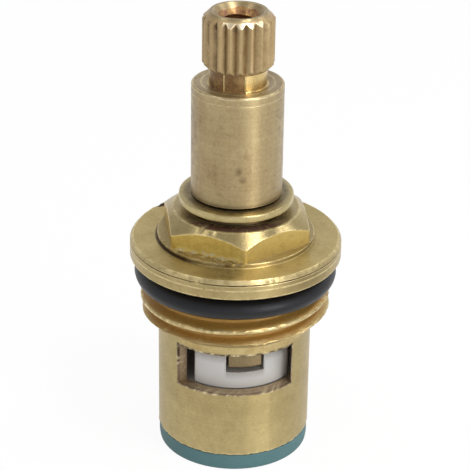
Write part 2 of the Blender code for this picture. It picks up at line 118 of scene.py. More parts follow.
# Spindle
STEM_RADIUS = 4.95 * MM
FOOT_BOTTOM = DISC_HIGH.z + SEAT_GAP
FOOT_TOP = FOOT_BOTTOM + 2.6 * MM
FOOT_HUB_RADIUS = 5.6 * MM
FOOT_RADIUS = 6.9 * MM
FOOT_HALF_ANGLE = 38.5
LUG_WIDTH = 3.6 * MM
LUG_INNER_RADIUS = 4.2 * MM
GROOVE_TOP = HOUSING_HIGH.z - 3.35 * MM
GROOVE_HEIGHT = 1.9 * MM
GROOVE_PITCH = 3.6 * MM
GROOVE_FLOOR_RADIUS = 3.35 * MM
STEM_TOP = HOUSING_HIGH.z + 14.38 * MM
NECK_RADIUS = 3.1 * MM
SPLINE_FOOT = STEM_TOP + 1.82 * MM
SPLINE_RADIUS = 3.82 * MM
SPLINE_CHAMFER = 0.8 * MM
HOLE_RADIUS = 1.65 * MM
HOLE_THREAD_RADIUS = 2.0 * MM
HOLE_FLOOR = SPINDLE_HIGH.z - 12.0 * MM
COUNTERSINK_RADIUS = 2.7 * MM
CLIP_INNER_RADIUS = 4.55 * MM
CLIP_OUTER_RADIUS = 6.23 * MM
CLIP_MOUTH = 13.0

# Discs, rings and seal
DISC_RADIUS = 7.0 * MM
DISC_WAIST = 1.9 * MM
DISC_HALF_ANGLE = 50.0
EAR_WIDTH = 3.0 * MM
PORT_INNER_RADIUS = 2.1 * MM
PORT_OUTER_RADIUS = 4.9 * MM
PORT_HALF_ANGLE = 35.0
BODY_RING_SECTION = 2.3 * MM
GLAND_RING_RADIUS = 4.2 * MM
GLAND_RING_SECTION = 1.5 * MM
SEAL_BORE = 5.5 * MM
SEAL_RADIUS = 8.43 * MM


def to_linear(hex_colour):
    """Linear RGBA of an sRGB hex colour."""
    channels = [int(hex_colour[i:i + 2], 16) / 255 for i in (1, 3, 5)]
    return (*[c / 12.92 if c <= 0.04045 else ((c + 0.055) / 1.055) ** 2.4 for c in channels], 1.0)


def amount(name, default, description, **options):
    return FloatProperty(name=name, default=default, description=description, **options)


def length(name, default, description):
    return amount(name, default, description, unit='LENGTH', precision=5)


def angle(name, degrees, description):
    return amount(name, math.radians(degrees), description, unit='ROTATION')


def colour(name, hex_colour, description):
    return FloatVectorProperty(name=name, default=to_linear(hex_colour)[:3], description=description,
                               subtype='COLOR', size=3, min=0.0, max=1.0)


class HousingSettings(bpy.types.PropertyGroup):
    """Sizes and colours of the brass housing."""
    thread_pitch: length("Thread pitch", THREAD_PITCH, "Rise of the pipe thread in one turn")
    thread_depth: length("Thread depth", 1.162 * MM, "Depth of the pipe thread")
    thread_radius: length("Thread radius", THREAD_RADIUS, "Radius over the thread's crests")
    thread_level: length("Thread level", THREAD_LEVEL, "Height of the upper crest at the front")
    lead_lean: length("Lead lean", 0.5 * MM, "How much deeper the lead cone is cut on the left")
    across_flats: length("Across flats", 15.0 * MM, "Size of the spanner that fits the hexagon")
    hexagon_turn: angle("Hexagon turn", 7.0, "Plan angle of the hexagon's front corner")
    edge: length("Broken edge", 0.1 * MM, "Size of the small rounds on turned edges")
    burr: length("Burr", 0.08 * MM, "Height of the burrs round the milled windows")
    pale: colour("Pale brass", "#BCAA78", "Clean turned brass")
    dark: colour("Dull brass", "#A28F62", "Brass that has dulled with handling")


class SpindleSettings(bpy.types.PropertyGroup):
    """Sizes and colours of the brass spindle and its clip."""
    teeth: IntProperty(name="Teeth", default=20, min=6, description="Number of spline teeth")
    tooth_depth: length("Tooth depth", 0.45 * MM, "Depth of the grooves between the teeth")
    tooth_crest: amount("Tooth crest", 0.2, "Share of the pitch left round at each tooth's crest",
                        min=0.0, max=0.9)
    tooth_turn: angle("Tooth turn", 21.5, "Plan angle of the first tooth at rest")
    edge: length("Broken edge", 0.1 * MM, "Size of the small rounds on turned edges")
    clip_section: length("Clip thickness", 0.87 * MM, "Thickness of the retaining clip")
    clip_lean: angle("Clip lean", 1.6, "How far the clip tips towards the front")
    pale: colour("Pale stem", "#BBAA80", "Clean brass of the stem")
    dark: colour("Handled stem", "#98805C", "Streaks left on the stem by handling")


class SoftSettings(bpy.types.PropertyGroup):
    """Colours of the rubber, ceramic and plastic pieces."""
    black_rubber: colour("Black rubber", "#111216", "Sealing rings")
    green_rubber: colour("Green rubber", "#486B6E", "Seal under the barrel")
    ceramic: colour("Ceramic", "#BEBCB9", "Lapped alumina discs")
    washer: colour("Washer", "#E4E0D2", "Low friction washer")
    steel: colour("Steel", "#B9BBBD", "Ring inside the seal")


class StageSettings(bpy.types.PropertyGroup):
    """Light and floor."""
    key_power: amount("Key power", 0.52, "Lamp overhead at the right", unit='POWER')
    side_power: amount("Side power", 0.4, "Low lamp at the right", unit='POWER')
    edge_power: amount("Edge power", 0.18, "Lamp behind at the right", unit='POWER')
    fill_power: amount("Fill power", 0.13, "Lamp behind at the left", unit='POWER')
    zenith_level: amount("Zenith level", 0.62, "Light from straight above")
    horizon_level: amount("Horizon level", 1.0, "Light from the paper all round")
    floor_shown: amount("Floor shown", 0.93, "White of the floor to the camera")
    floor_mirrored: amount("Floor mirrored", 0.63, "White of the floor in the metal")
    side_lift: amount("Side lift", 0.22, "How much brighter the right side is")
    flag_depth: amount("Flag depth", 0.52, "How dark the flag at the right is")
    lens: amount("Lens", 140.0, "Focal length in millimetres", unit='CAMERA')


# Mesh building

def rounded(corners, curve, steps=4, support=0.12 * MM, loop=True):
    """Stations of a profile with a curve in each corner and a plain row each side of it.

    A corner is (radius, height) or (radius, height, own curve), and an own curve of 0 is one plain row.
    Radius and height may be arrays, one value a column. A station is radius, height and wear_and_glint,
    which marks the outer corners of a profile that runs up its outside as rubbed.
    """
    width = max(np.size(value) for corner in corners for value in corner[:2])
    points = [np.array([np.broadcast_to(value, width) for value in corner[:2]]) for corner in corners]
    stations = []

    def station(point, wear_and_glint):
        stations.append(np.vstack([point, np.broadcast_to(wear_and_glint, (1, width))]))

    for i, corner in enumerate(corners):
        own = corner[2] if len(corner) > 2 else curve
        here = points[i]
        if own == 0 or (not loop and i in (0, len(corners) - 1)):
            station(here, 0.0)
            continue
        back = points[i - 1] - here
        ahead = points[(i + 1) % len(points)] - here
        back_length = np.maximum(np.hypot(*back), 1e-9)
        ahead_length = np.maximum(np.hypot(*ahead), 1e-9)
        reach = np.minimum(own, 0.35 * np.minimum(back_length, ahead_length))
        start = here + back * reach / back_length
        end = here + ahead * reach / ahead_length
        outer = np.where(back[0] * ahead[1] < back[1] * ahead[0], 1.0, 0.0)
        station(start + back * np.minimum(support, 0.1 * back_length) / back_length, 0.0)
        for k in range(steps + 1):
            s = k / steps
            station((1 - s) ** 2 * start + 2 * s * (1 - s) * here + s * s * end, outer)
        station(end + ahead * np.minimum(support, 0.1 * ahead_length) / ahead_length, 0.0)
    return np.array(stations)


def rows(start, end, step, ends=True):
    """Plain rows from one profile corner to another, no further apart than step."""
    count = max(2, math.ceil(math.dist(start, end) / step))
    found = [(start[0] + (end[0] - start[0]) * i / count, start[1] + (end[1] - start[1]) * i / count, 0)
             for i in range(count + 1)]
    return found if ends else found[1:-1]


def lathe(columns, stations, loop=True):
    """bmesh of a profile taken round Z, one column of faces from each plan angle to the next."""
    radius, height, wear_and_glint = (np.broadcast_to(stations[:, k], (len(stations), len(columns))) for k in range(3))
    turn = np.radians(columns)
    points = np.stack([radius * np.sin(turn), -radius * np.cos(turn), height], -1).reshape(-1, 3)
    index = np.arange(len(points)).reshape(radius.shape)
    lower = index if loop else index[:-1]
    upper = np.roll(index, -1, 0) if loop else index[1:]
    faces = np.stack([lower, np.roll(lower, -1, 1), np.roll(upper, -1, 1), upper], -1).reshape(-1, 4)
    mesh = bpy.data.meshes.new("turned")
    mesh.from_pydata(points.tolist(), [], faces.tolist())
    attribute = mesh.attributes.new("wear_and_glint", 'FLOAT', 'POINT')
    attribute.data.foreach_set("value", wear_and_glint.reshape(-1).astype(np.float32))
    data = bmesh.new()
    data.from_mesh(mesh)
    bpy.data.meshes.remove(mesh)
    bmesh.ops.remove_doubles(data, verts=data.verts, dist=1e-7)
    bmesh.ops.recalc_face_normals(data, faces=data.faces)
    return data


def polar(radius, turn):
    """Plan point at an angle from the front."""
    turn = math.radians(turn)
    return radius * math.sin(turn), -radius * math.cos(turn)


def at(radius, turn, height):
    """Point at a radius, plan angle and height."""
    return Vector((*polar(radius, turn), height))


def plan_angle(point):
    """Plan angle at which a point stands."""
    return math.degrees(math.atan2(point.x, -point.y))


def outward(point):
    """Level unit vector from the axis towards a point."""
    return Vector((point.x, point.y, 0.0)).normalized()


def arc(radius, start, end, step=1.5):
    """Plan points along an arc, both ends included."""
    steps = max(1, math.ceil(abs(end - start) / step))
    return [polar(radius, start + (end - start) * i / steps) for i in range(steps + 1)]


def sector(inner, outer, half_angle, facing):
    """Plan outline of part of a ring."""
    start, end = facing - half_angle, facing + half_angle
    return arc(outer, start, end) + arc(inner, end, start)


def bar_end(inner, outer, width, facing):
    """Plan outline of a bar that runs out to a round rim."""
    reach = math.degrees(math.asin(width / 2 / outer))
    start = math.hypot(inner, width / 2)
    spread = math.degrees(math.atan2(width / 2, inner))
    rim = arc(outer, facing - reach, facing + reach)
    return rim + [polar(start, facing + spread), polar(start, facing - spread)]


def raised(outlines, low, high):
    """bmesh of plan outlines raised from one height to another."""
    data = bmesh.new()
    for outline in outlines:
        base = data.faces.new([data.verts.new((x, y, low)) for x, y in outline])
        top = bmesh.ops.extrude_face_region(data, geom=[base])["geom"]
        bmesh.ops.translate(data, verts=[v for v in top if isinstance(v, bmesh.types.BMVert)],
                            vec=(0, 0, high - low))
    bmesh.ops.recalc_face_normals(data, faces=data.faces)
    return data


def bevel_rims(data, levels, width, segments):
    """Round the edges that lie at the given heights."""
    rims = [e for e in data.edges
            if any(all(abs(v.co.z - level) < 1e-7 for v in e.verts) for level in levels)
            and e.calc_face_angle(0.0) > 0.5]
    bmesh.ops.bevel(data, geom=rims, offset=width, segments=segments, affect='EDGES', profile=0.5)


def plain_object(name, data):
    """Object of a bmesh at the origin."""
    mesh = bpy.data.meshes.new(name)
    data.to_mesh(mesh)
    data.free()
    made = bpy.data.objects.new(name, mesh)
    bpy.context.scene.collection.objects.link(made)
    return made


def made_plain(target):
    """Turn what the modifiers show into the object's own mesh."""
    graph = bpy.context.evaluated_depsgraph_get()
    mesh = bpy.data.meshes.new_from_object(target.evaluated_get(graph))
    before = target.data
    target.modifiers.clear()
    target.data = mesh
    bpy.data.meshes.remove(before)


def combine(target, operation, outline, sizes, facings, low, high, bevel=0.0):
    """Boolean with a plan outline raised at each plan angle, made plain; bevel breaks its lower rim."""
    data = raised([outline(*sizes, facing) for facing in facings], low, high)
    if bevel:
        bevel_rims(data, [low], bevel, 1)
    tool = plain_object("cutting_shape", data)
    step = target.modifiers.new("boolean", 'BOOLEAN')
    step.operation = operation
    step.object = tool
    step.solver = 'EXACT'
    made_plain(target)
    bpy.data.objects.remove(tool, do_unlink=True)


def finished(target, body, slot, nodes, *materials):
    """Give a piece its materials, smooth faces with sharp edges, its body and the nodes it stands for."""
    mesh = target.data
    if not mesh.polygons:
        raise RuntimeError(f"{target.name} came out empty")
    if len(mesh.materials) == 0:
        for item in materials:
            mesh.materials.append(item)
    mesh.shade_smooth()
    mesh.set_sharp_from_angle(angle=SHARP_ANGLE)
    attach(target, body)
    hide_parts(*nodes)


def dent(data, radius, turn, height, reach, outwards, upwards, bright=True):
    """Push the surface near a point, fading out over the reach; when bright, paint a glint there, else leave
    it dull.
    """
    wear_and_glint = data.verts.layers.float["wear_and_glint"]
    centre = at(radius, turn, height)
    push = at(outwards, turn, upwards)
    for vert in data.verts:
        share = 1.0 - (vert.co - centre).length / reach
        if share > 0.0:
            vert.co += push * (share * share * (3 - 2 * share))
            vert[wear_and_glint] = max(vert[wear_and_glint], share) if bright else 0.0


# Node trees

class Field:
    """What a node gives at each point. Arithmetic with fields adds nodes, so a formula reads as one."""

    def __init__(self, tree, node, output=0):
        self.tree = tree
        self.node = node
        self.socket = node.outputs[output] if len(node.outputs) else None

    def __getitem__(self, output):
        return Field(self.tree, self.node, output)

    def __iter__(self):
        return (self[i] for i in range(len(self.node.outputs)))

    def maths(self, operation, *others):
        """Result of an operation on this field and others."""
        return add(self.tree, 'ShaderNodeMath', dict(enumerate((self, *others))), operation=operation)

    __abs__ = partialmethod(maths, 'ABSOLUTE')
    __neg__ = partialmethod(maths, 'MULTIPLY', -1.0)
    __add__ = partialmethod(maths, 'ADD')
    __sub__ = partialmethod(maths, 'SUBTRACT')
    __mul__ = partialmethod(maths, 'MULTIPLY')
    __truediv__ = partialmethod(maths, 'DIVIDE')
    __lt__ = partialmethod(maths, 'LESS_THAN')
    __gt__ = partialmethod(maths, 'GREATER_THAN')

    def __rsub__(self, other):
        return -self + other

    def ramp(self, low, high, bottom=0.0, top=1.0, path='LINEAR'):
        """The field mapped from one range to another and held inside it."""
        given = {"Value": self, "From Min": low, "From Max": high, "To Min": bottom, "To Max": top}
        return add(self.tree, 'ShaderNodeMapRange', given, interpolation_type=path)

    def mix(self, first, second):
        """Colour between two others, each a field or linear RGB, with this field as the second's share."""
        first, second = (c if isinstance(c, Field) else (*c[:3], 1.0) for c in (first, second))
        return add(self.tree, 'ShaderNodeMix', {"Factor": self, 6: first, 7: second}, data_type='RGBA')[2]


def feed(tree, node, inputs):
    """Link the inputs that a field feeds and set the others."""
    for name, value in inputs.items():
        if isinstance(value, Field):
            tree.links.new(value.socket, node.inputs[name])
        else:
            node.inputs[name].default_value = value


def add(tree, kind, inputs=None, **settings):
    """Add a node with its settings and links, and return its first output."""
    node = tree.nodes.new(kind)
    for name, value in settings.items():
        setattr(node, name, value)
    feed(tree, node, inputs or {})
    return Field(tree, node)


def highest(first, *others):
    """The highest of some fields at each point."""
    for other in others:
        first = first.maths('MAXIMUM', other)
    return first


def round_axis(place):
    """Position with its parts and its distance from the spindle's axis."""
    x, y, z = add(place.tree, 'ShaderNodeSeparateXYZ', {0: place})
    plan = add(place.tree, 'ShaderNodeCombineXYZ', {0: x, 1: y})
    radius = add(place.tree, 'ShaderNodeVectorMath', {0: plan}, operation='LENGTH')["Value"]
    return SimpleNamespace(place=place, x=x, y=y, z=z, radius=radius)


def whole_turns(here):
    """Turn from the front, in whole turns."""
    return here.x.maths('ARCTAN2', -here.y) / (2 * math.pi)


# Geometry Nodes

def cutting_tree(name, sizes):
    """Geometry Nodes tree with a geometry, sizes and a finish as inputs; returns it and its inputs."""
    tree = bpy.data.node_groups.new(name, 'GeometryNodeTree')
    tree.interface.new_socket("Geometry", in_out='INPUT', socket_type='NodeSocketGeometry')
    for size in sizes:
        tree.interface.new_socket(size, in_out='INPUT', socket_type='NodeSocketFloat')
    tree.interface.new_socket("Finish", in_out='INPUT', socket_type='NodeSocketMaterial')
    tree.interface.new_socket("Geometry", in_out='OUTPUT', socket_type='NodeSocketGeometry')
    return tree, add(tree, 'NodeGroupInput')


def cut_to_radius(tree, given, here, wanted, inside, limit='MINIMUM'):
    """Draw the chosen points to the wanted radius where they stand past it, and finish their faces."""
    share = here.radius.maths(limit, wanted) / here.radius
    moved = add(tree, 'ShaderNodeCombineXYZ', {0: here.x * share, 1: here.y * share, 2: here.z})
    cut = add(tree, 'GeometryNodeSetPosition',
              {"Geometry": given["Geometry"], "Selection": inside, "Position": moved})
    whole = add(tree, 'GeometryNodeRealizeInstances', {"Geometry": cut})
    finish = add(tree, 'GeometryNodeSetMaterial',
                 {"Geometry": whole, "Selection": inside, "Material": given["Finish"]})
    add(tree, 'NodeGroupOutput', {0: finish})


def from_crest(phase):
    """Distance from the nearest crest, from 0 there to 0.5 in the middle of the groove."""
    return abs(phase.maths('WRAP', 0.5, -0.5))


def thread_tree(name, reach, limit):
    """Helical groove with rounded crests and roots.

    Outside threads are cut in to the wanted radius and inside ones out to it. Only points within the
    reach of the axis and between Foot and Top are cut.
    """
    tree, size = cutting_tree(name, ("Crest Radius", "Root Radius", "Pitch", "Level", "Foot", "Top"))
    here = round_axis(add(tree, 'GeometryNodeInputPosition'))
    crest = from_crest((here.z - size["Level"]) / size["Pitch"] - whole_turns(here))
    wanted = crest.ramp(0.04, 0.45, size["Crest Radius"], size["Root Radius"], 'SMOOTHSTEP')
    inside = (here.z > size["Foot"]) * (here.z < size["Top"]) * (here.radius < reach)
    cut_to_radius(tree, size, here, wanted, inside, limit)
    return tree


def spline_tree():
    """V grooves cut between the teeth of the splined end."""
    sizes = ("Crest Radius", "Depth", "Teeth", "Crest Share", "Turn", "Foot")
    tree, size = cutting_tree("cut_spline_teeth", sizes)
    here = round_axis(add(tree, 'GeometryNodeInputPosition'))
    crest = from_crest((whole_turns(here) - size["Turn"] / (2 * math.pi)) * size["Teeth"])
    root = size["Crest Radius"] - size["Depth"]
    wanted = crest.ramp(size["Crest Share"] / 2.0, 0.5, size["Crest Radius"], root)
    inside = (here.z > size["Foot"]) * (here.radius > NECK_RADIUS + FIT_GAP)
    cut_to_radius(tree, size, here, wanted, inside)
    return tree


def run_tree(target, tree, finish, sizes):
    """Run a cutting tree on a piece and keep the plain result."""
    step = target.modifiers.new(tree.name, 'NODES')
    step.node_group = tree
    sockets = {item.name: item.identifier for item in tree.interface.items_tree if item.in_out == 'INPUT'}
    for name, value in sizes.items():
        step[sockets[name]] = float(value)
    step[sockets["Finish"]] = finish
    made_plain(target)


# Materials

def new_material(name):
    """Material with its tree and its shader."""
    made = bpy.data.materials.new(name)
    made.use_nodes = True
    return made, made.node_tree, made.node_tree.nodes["Principled BSDF"]


def brass(name, pale, dark, roughness, anisotropy, line, patch, streak=0.0, smudge=0.35, coat=0.2,
          film=None, film_colour=None, film_metal=0.35, dirt_and_shade=None, rough_skin=0.02 * MM, spot=0.9 * MM):
    """Brass whose dull patches and tool lines come from the piece's own coordinates, and whose worn edges and
    painted glints come from its wear_and_glint attribute.

    pale and dark are hex colours or linear RGB. line, patch and spot are the spacing of the tool's lines
    and the sizes of the dull patches and of the brown spots, in metres. film and dirt_and_shade build the
    shares of a film and of a dark brown from the fields of the place and its spots: real oxide and rub marks
    on some pieces, painted shade, shadow, light and reflection on others.
    """
    pale, dark = (to_linear(tone) if isinstance(tone, str) else tone for tone in (pale, dark))
    made, tree, shader = new_material(name)
    here = round_axis(add(tree, 'ShaderNodeTexCoord')["Object"])
    here.section = add(tree, 'ShaderNodeCombineXYZ', {0: here.radius, 2: here.z})
    drawn = add(tree, 'ShaderNodeCombineXYZ', {0: here.x, 1: here.y, 2: here.z * 0.06})
    # Place, size, detail, roughness and distortion of each pattern. Real tool lines are about 0.1 mm apart
    # and the grain is finer still, too fine to show, so both are drawn two to five times as coarse
    lines, patches, here.spots, grain, streaks = (
        add(tree, 'ShaderNodeTexNoise', {"Vector": place, "Scale": 1 / size, "Detail": detail,
                                         "Roughness": fineness, "Distortion": twist})
        for place, size, detail, fineness, twist in ((here.section, line, 3.0, 0.5, 0.0),
                                                     (here.place, patch, 4.0, 0.6, 0.0),
                                                     (here.place, spot, 5.0, 0.65, 0.6),
                                                     (here.place, 0.22 * MM, 3.0, 0.5, 0.0),
                                                     (drawn, 0.9 * MM, 4.0, 0.7, 0.0)))
    dull = patches.ramp(0.3, 0.7, 0.2, 0.8)
    for pattern, depth in ((lines, 0.5), (grain, 0.7), (streaks, streak)):
        dull = (pattern - 0.5) * depth + dull
    base = dull.mix(pale, dark)
    wear_and_glint_share = add(tree, 'ShaderNodeAttribute', attribute_name="wear_and_glint")["Fac"]
    bare = 1.0 - wear_and_glint_share * 0.85
    matt = grain.ramp(0.3, 0.7, roughness - 0.06, roughness + 0.06)
    metal = 1.0
    if film:
        share = film(here) * bare
        base = share.mix(base, to_linear(film_colour))
        metal = share.ramp(0.0, 1.0, 1.0, film_metal)
        matt = share * 0.15 + matt
    # Brown spots where the metal has been touched, and dirt and painted shade where dirt_and_shade puts them
    brown = [channel * tint for channel, tint in zip(dark, (0.62, 0.52, 0.42))]
    base = (here.spots.ramp(0.56, 0.72) * smudge).mix(base, brown)
    if dirt_and_shade:
        dirt_and_shade_share = dirt_and_shade(here) * bare
        base = dirt_and_shade_share.mix(base, to_linear("#3A2412"))
        matt = dirt_and_shade_share * 0.1 + matt
    # Edges rubbed bright, and painted glints, here and there
    bright = [min(1.0, channel * 1.4 + 0.08) for channel in pale]
    base = (wear_and_glint_share * here.spots.ramp(0.36, 0.58) * 0.75).mix(base, bright)
    # The tool's lines run round the axis, so they spread a highlight across themselves
    across = add(tree, 'ShaderNodeCombineXYZ', {0: -here.y, 1: here.x})
    tangent = add(tree, 'ShaderNodeVectorTransform', {0: across}, vector_type='VECTOR',
                  convert_from='OBJECT', convert_to='WORLD')
    bump = add(tree, 'ShaderNodeBump', {"Height": grain * 0.4 + lines * 0.6, "Strength": 0.3,
                                        "Distance": rough_skin})
    feed(tree, shader, {"Base Color": base, "Metallic": metal, "Roughness": matt, "Normal": bump,
                        "Tangent": tangent, "Anisotropic": anisotropy, "Anisotropic Rotation": 0.25,
                        "Coat Weight": coat, "Coat Roughness": 0.3})
    return made


def near(place, point, inner, outer):
    """1 within the inner distance of a point, fading to 0 at the outer one."""
    away = add(place.tree, 'ShaderNodeVectorMath', {0: place, 1: point}, operation='DISTANCE')["Value"]
    return away.ramp(outer, inner)


def helix_level(here):
    """Height less the pipe thread's rise since the front, the same all along a crest."""
    return here.z - whole_turns(here) * THREAD_PITCH


def film_in_grooves(here):
    """Oxide film that fills the thread's grooves and leaves the crests and the lead cone clean."""
    above_lead = helix_level(here).ramp(THREAD_FOOT + 1.25 * MM, THREAD_FOOT + 1.6 * MM)
    depth = here.radius.ramp(THREAD_RADIUS - 0.3 * MM, THREAD_RADIUS - 0.06 * MM, 1.0, 0.0)
    return depth * above_lead * here.spots.ramp(0.25, 0.5, 0.6, 1.0)


def painted_shade_under_crests(here):
    """Painted shade along the lower side of each crest."""
    rise = (helix_level(here) - THREAD_LEVEL).maths('WRAP', 0.5 * THREAD_PITCH, -0.5 * THREAD_PITCH)
    line = abs(rise + 0.38 * MM).ramp(0.16 * MM, 0.05 * MM)
    return line * here.spots.ramp(0.42, 0.55, 0.15, 0.75)


def painted_shade_round_gland(here):
    """Painted shade on the front of the flat top round the gland, under the clip."""
    inside = here.radius.ramp(HEX_TOP_RADIUS, HEX_TOP_RADIUS - 0.25 * MM)
    high = here.z.ramp(HOUSING_HIGH.z - 0.3 * MM, HOUSING_HIGH.z - 0.1 * MM)
    front = here.y.ramp(-3.2 * MM, -4.8 * MM)
    return inside * high * front * here.spots.ramp(0.62, 0.56, 0.35, 1.0)


def painted_shade_on_housing(here):
    """Painted shade in the flange's groove, a painted shadow at the collar's foot, darker in a knock, a
    painted reflection on the flange top, and painted shade on the flange's side at the right.
    """
    on_rim = here.radius > FLANGE_RADIUS - 0.2 * MM
    # Painted shade in the flange's groove
    groove_shade = abs(here.z - FLANGE_GROOVE).ramp(0.16 * MM, 0.06 * MM) * on_rim
    groove_shade = groove_shade * here.spots.ramp(0.4, 0.6, 0.3, 0.8)
    # Painted shadow at the collar's foot, deeper on the left
    collar_foot = (COLLAR_RADIUS + 0.05 * MM, 0.0, FLANGE_TOP + 0.1 * MM)
    corner = near(here.section, collar_foot, 0.1 * MM, 0.28 * MM)
    corner = corner * here.x.ramp(-2.5 * MM, -5.5 * MM, 0.15, 0.95)
    knock = near(here.place, at(FLANGE_RADIUS - 0.2 * MM, -130.0, FLANGE_TOP), 0.75 * MM, 0.9 * MM)
    # Painted reflection of the hexagon on the flange top
    painted_reflection = near(here.place, at(9.7 * MM, -8.0, FLANGE_TOP), 0.8 * MM, 2.7 * MM)
    painted_reflection = painted_reflection * here.spots.ramp(0.3, 0.6, 0.15, 0.5)
    # Painted shade on the flange's side at the right
    painted_shade_right = near(here.place, at(FLANGE_RADIUS + 0.5 * MM, 38.0, FLANGE_TOP - 1.0 * MM), 2.0 * MM, 5.0 * MM)
    return highest(groove_shade, corner, knock, painted_reflection, painted_shade_right * on_rim * 0.3)


def painted_shade_in_window(here):
    """Painted shade along the torn outer edge of the window's walls, deeper towards their top."""
    rim = here.radius.ramp(BARREL_RADIUS - 0.42 * MM, BARREL_RADIUS - 0.2 * MM)
    high = here.z.ramp(WINDOW_TOP - 2.6 * MM, WINDOW_TOP - 2.2 * MM, 0.45, 0.95)
    return rim * high * here.spots.ramp(0.36, 0.5, 0.4, 1.0)


def painted_shade_in_teeth(here):
    """Painted shade in the grooves between the teeth, darkest at their upper ends and on the left."""
    cone = SPLINE_RADIUS - SPLINE_CHAMFER + SPINDLE_HIGH.z - here.z
    in_groove = (cone.maths('MINIMUM', SPLINE_RADIUS) - here.radius).ramp(0.08 * MM, 0.3 * MM)
    on_left = here.x.ramp(-1.4 * MM, 0.4 * MM, 1.0, 0.5)
    upper = here.z.ramp(SPINDLE_HIGH.z - 1.8 * MM, SPINDLE_HIGH.z - 1.2 * MM, 0.36, 0.9)
    return in_groove * upper * on_left * here.spots.ramp(0.36, 0.56, 0.2, 0.95)


def painted_shade_on_clip(here):
    """Painted shade and reflection of the stem on the clip beside it."""
    return here.radius.ramp(5.95 * MM, 5.4 * MM) * here.spots.ramp(0.3, 0.6, 0.4, 0.7)


def rub_marks_and_painted_shade(here):
    """Two dark rub marks on the front of the stem, and painted shade round its foot."""
    upper = near(here.place, at(STEM_RADIUS, 2.5, 34.75 * MM), 0.1 * MM, 0.62 * MM)
    lower = near(here.place, at(STEM_RADIUS, 7.5, 33.8 * MM), 0.1 * MM, 0.55 * MM)
    # Painted shade round the stem's foot, above the clip
    foot = here.z.ramp(CLIP_HIGH.z + 0.55 * MM, CLIP_HIGH.z + 0.15 * MM, 0.0, 0.45)
    return highest(highest(upper, lower) * here.spots.ramp(0.3, 0.6, 0.25, 0.6), foot)


def film_on_scuffs(here):
    """Purple brown scuffs along the two sides of the stem where it has been gripped."""
    return (abs(here.x) / STEM_RADIUS).ramp(0.78, 0.94) * here.spots.ramp(0.47, 0.62, 0.0, 0.5)


def painted_shade_on_neck(here):
    """Painted shade on the left of a scratch along the neck, with bare metal on its right."""
    left = here.x.ramp(0.66 * MM, 0.76 * MM, 1.0, 0.0)
    edge = here.x.ramp(-3.05 * MM, -2.85 * MM, 0.3, 1.0)
    return left * edge * here.spots.ramp(0.3, 0.6, 0.6, 1.0)


def painted_light_on_right(here):
    """Painted light on the flats that face right."""
    return here.x.ramp(-0.5 * MM, 1.5 * MM, 0.0, 0.36)


def film_everywhere(here):
    """Film over the whole surface, thicker in patches."""
    return here.spots.ramp(0.38, 0.62, 0.2, 0.9)


def moulded(name, tone, roughness, speck, speck_size, ior=1.5, bump_height=0.01 * MM, scatter=0.0, film=None):
    """Rubber, ceramic or plastic with a slightly uneven colour and skin.

    speck_size is coarser than the real grain, which is too fine to show. scatter is the share of light
    that spreads under the surface, and film builds the share of painted shadow.
    """
    made, tree, shader = new_material(name)
    place = add(tree, 'ShaderNodeTexCoord')["Object"]
    fine, broad = (add(tree, 'ShaderNodeTexNoise', {"Vector": place, "Scale": 1 / size, "Detail": detail})
                   for size, detail in ((speck_size, 3.0), (3 * MM, 2.0)))
    deep = [channel * (1 - speck) for channel in tone]
    light = [min(1.0, channel * (1 + speck) + 0.01 * speck) for channel in tone]
    base = (fine * 0.5 + broad * 0.5).mix(deep, light)
    if film:
        here = round_axis(place)
        here.spots = fine
        # Painted shadow in grey brown where film puts it
        base = film(here).mix(base, to_linear("#6B6055"))
    matt = broad.ramp(0.3, 0.7, roughness - 0.06, roughness + 0.06)
    bump = add(tree, 'ShaderNodeBump', {"Height": fine, "Strength": 0.4, "Distance": bump_height})
    feed(tree, shader, {"Base Color": base, "Roughness": matt, "Normal": bump, "IOR": ior,
                        "Subsurface Weight": scatter, "Subsurface Scale": 0.6 * MM,
                        "Subsurface Radius": (1.0, 0.95, 0.9)})
    return made


def painted_shadow_on_disc(here):
    """Painted shadow along the disc's upper edge and under its notch."""
    edge = here.z.ramp(12.6 * MM, 13.6 * MM, 0.0, 0.75)
    aside = abs(here.y * math.tan(math.radians(REST_TURN)) + here.x)
    notch = aside.ramp(2.4 * MM, 2.0 * MM) * here.z.ramp(10.7 * MM, 11.6 * MM)
    return highest(edge, notch * 0.6) * here.spots.ramp(0.3, 0.6, 0.7, 1.0)


# Pieces

def housing_columns(sizes):
    """Plan angles of the housing's columns: the even ones, and both sides of each hexagon corner."""
    turn = math.degrees(sizes.hexagon_turn)
    half = 30.0 - math.degrees(math.acos(sizes.across_flats / 2 / COLLAR_RADIUS))
    beside = [(turn + 60.0 * side + step) % 360.0 for side in range(6) for step in (-half, half)]
    return np.array(sorted([a for a in EVEN_COLUMNS if min(abs(a - b) for b in beside) > 0.3] + beside))


def hexagon_radius(columns, sizes):
    """Radius of the hexagon at each plan angle, held just inside the collar."""
    from_flat = (columns - math.degrees(sizes.hexagon_turn)) % 60.0 - 30.0
    flat = sizes.across_flats / 2 / np.cos(np.radians(from_flat))
    return np.minimum(flat, COLLAR_RADIUS - 0.01 * MM)


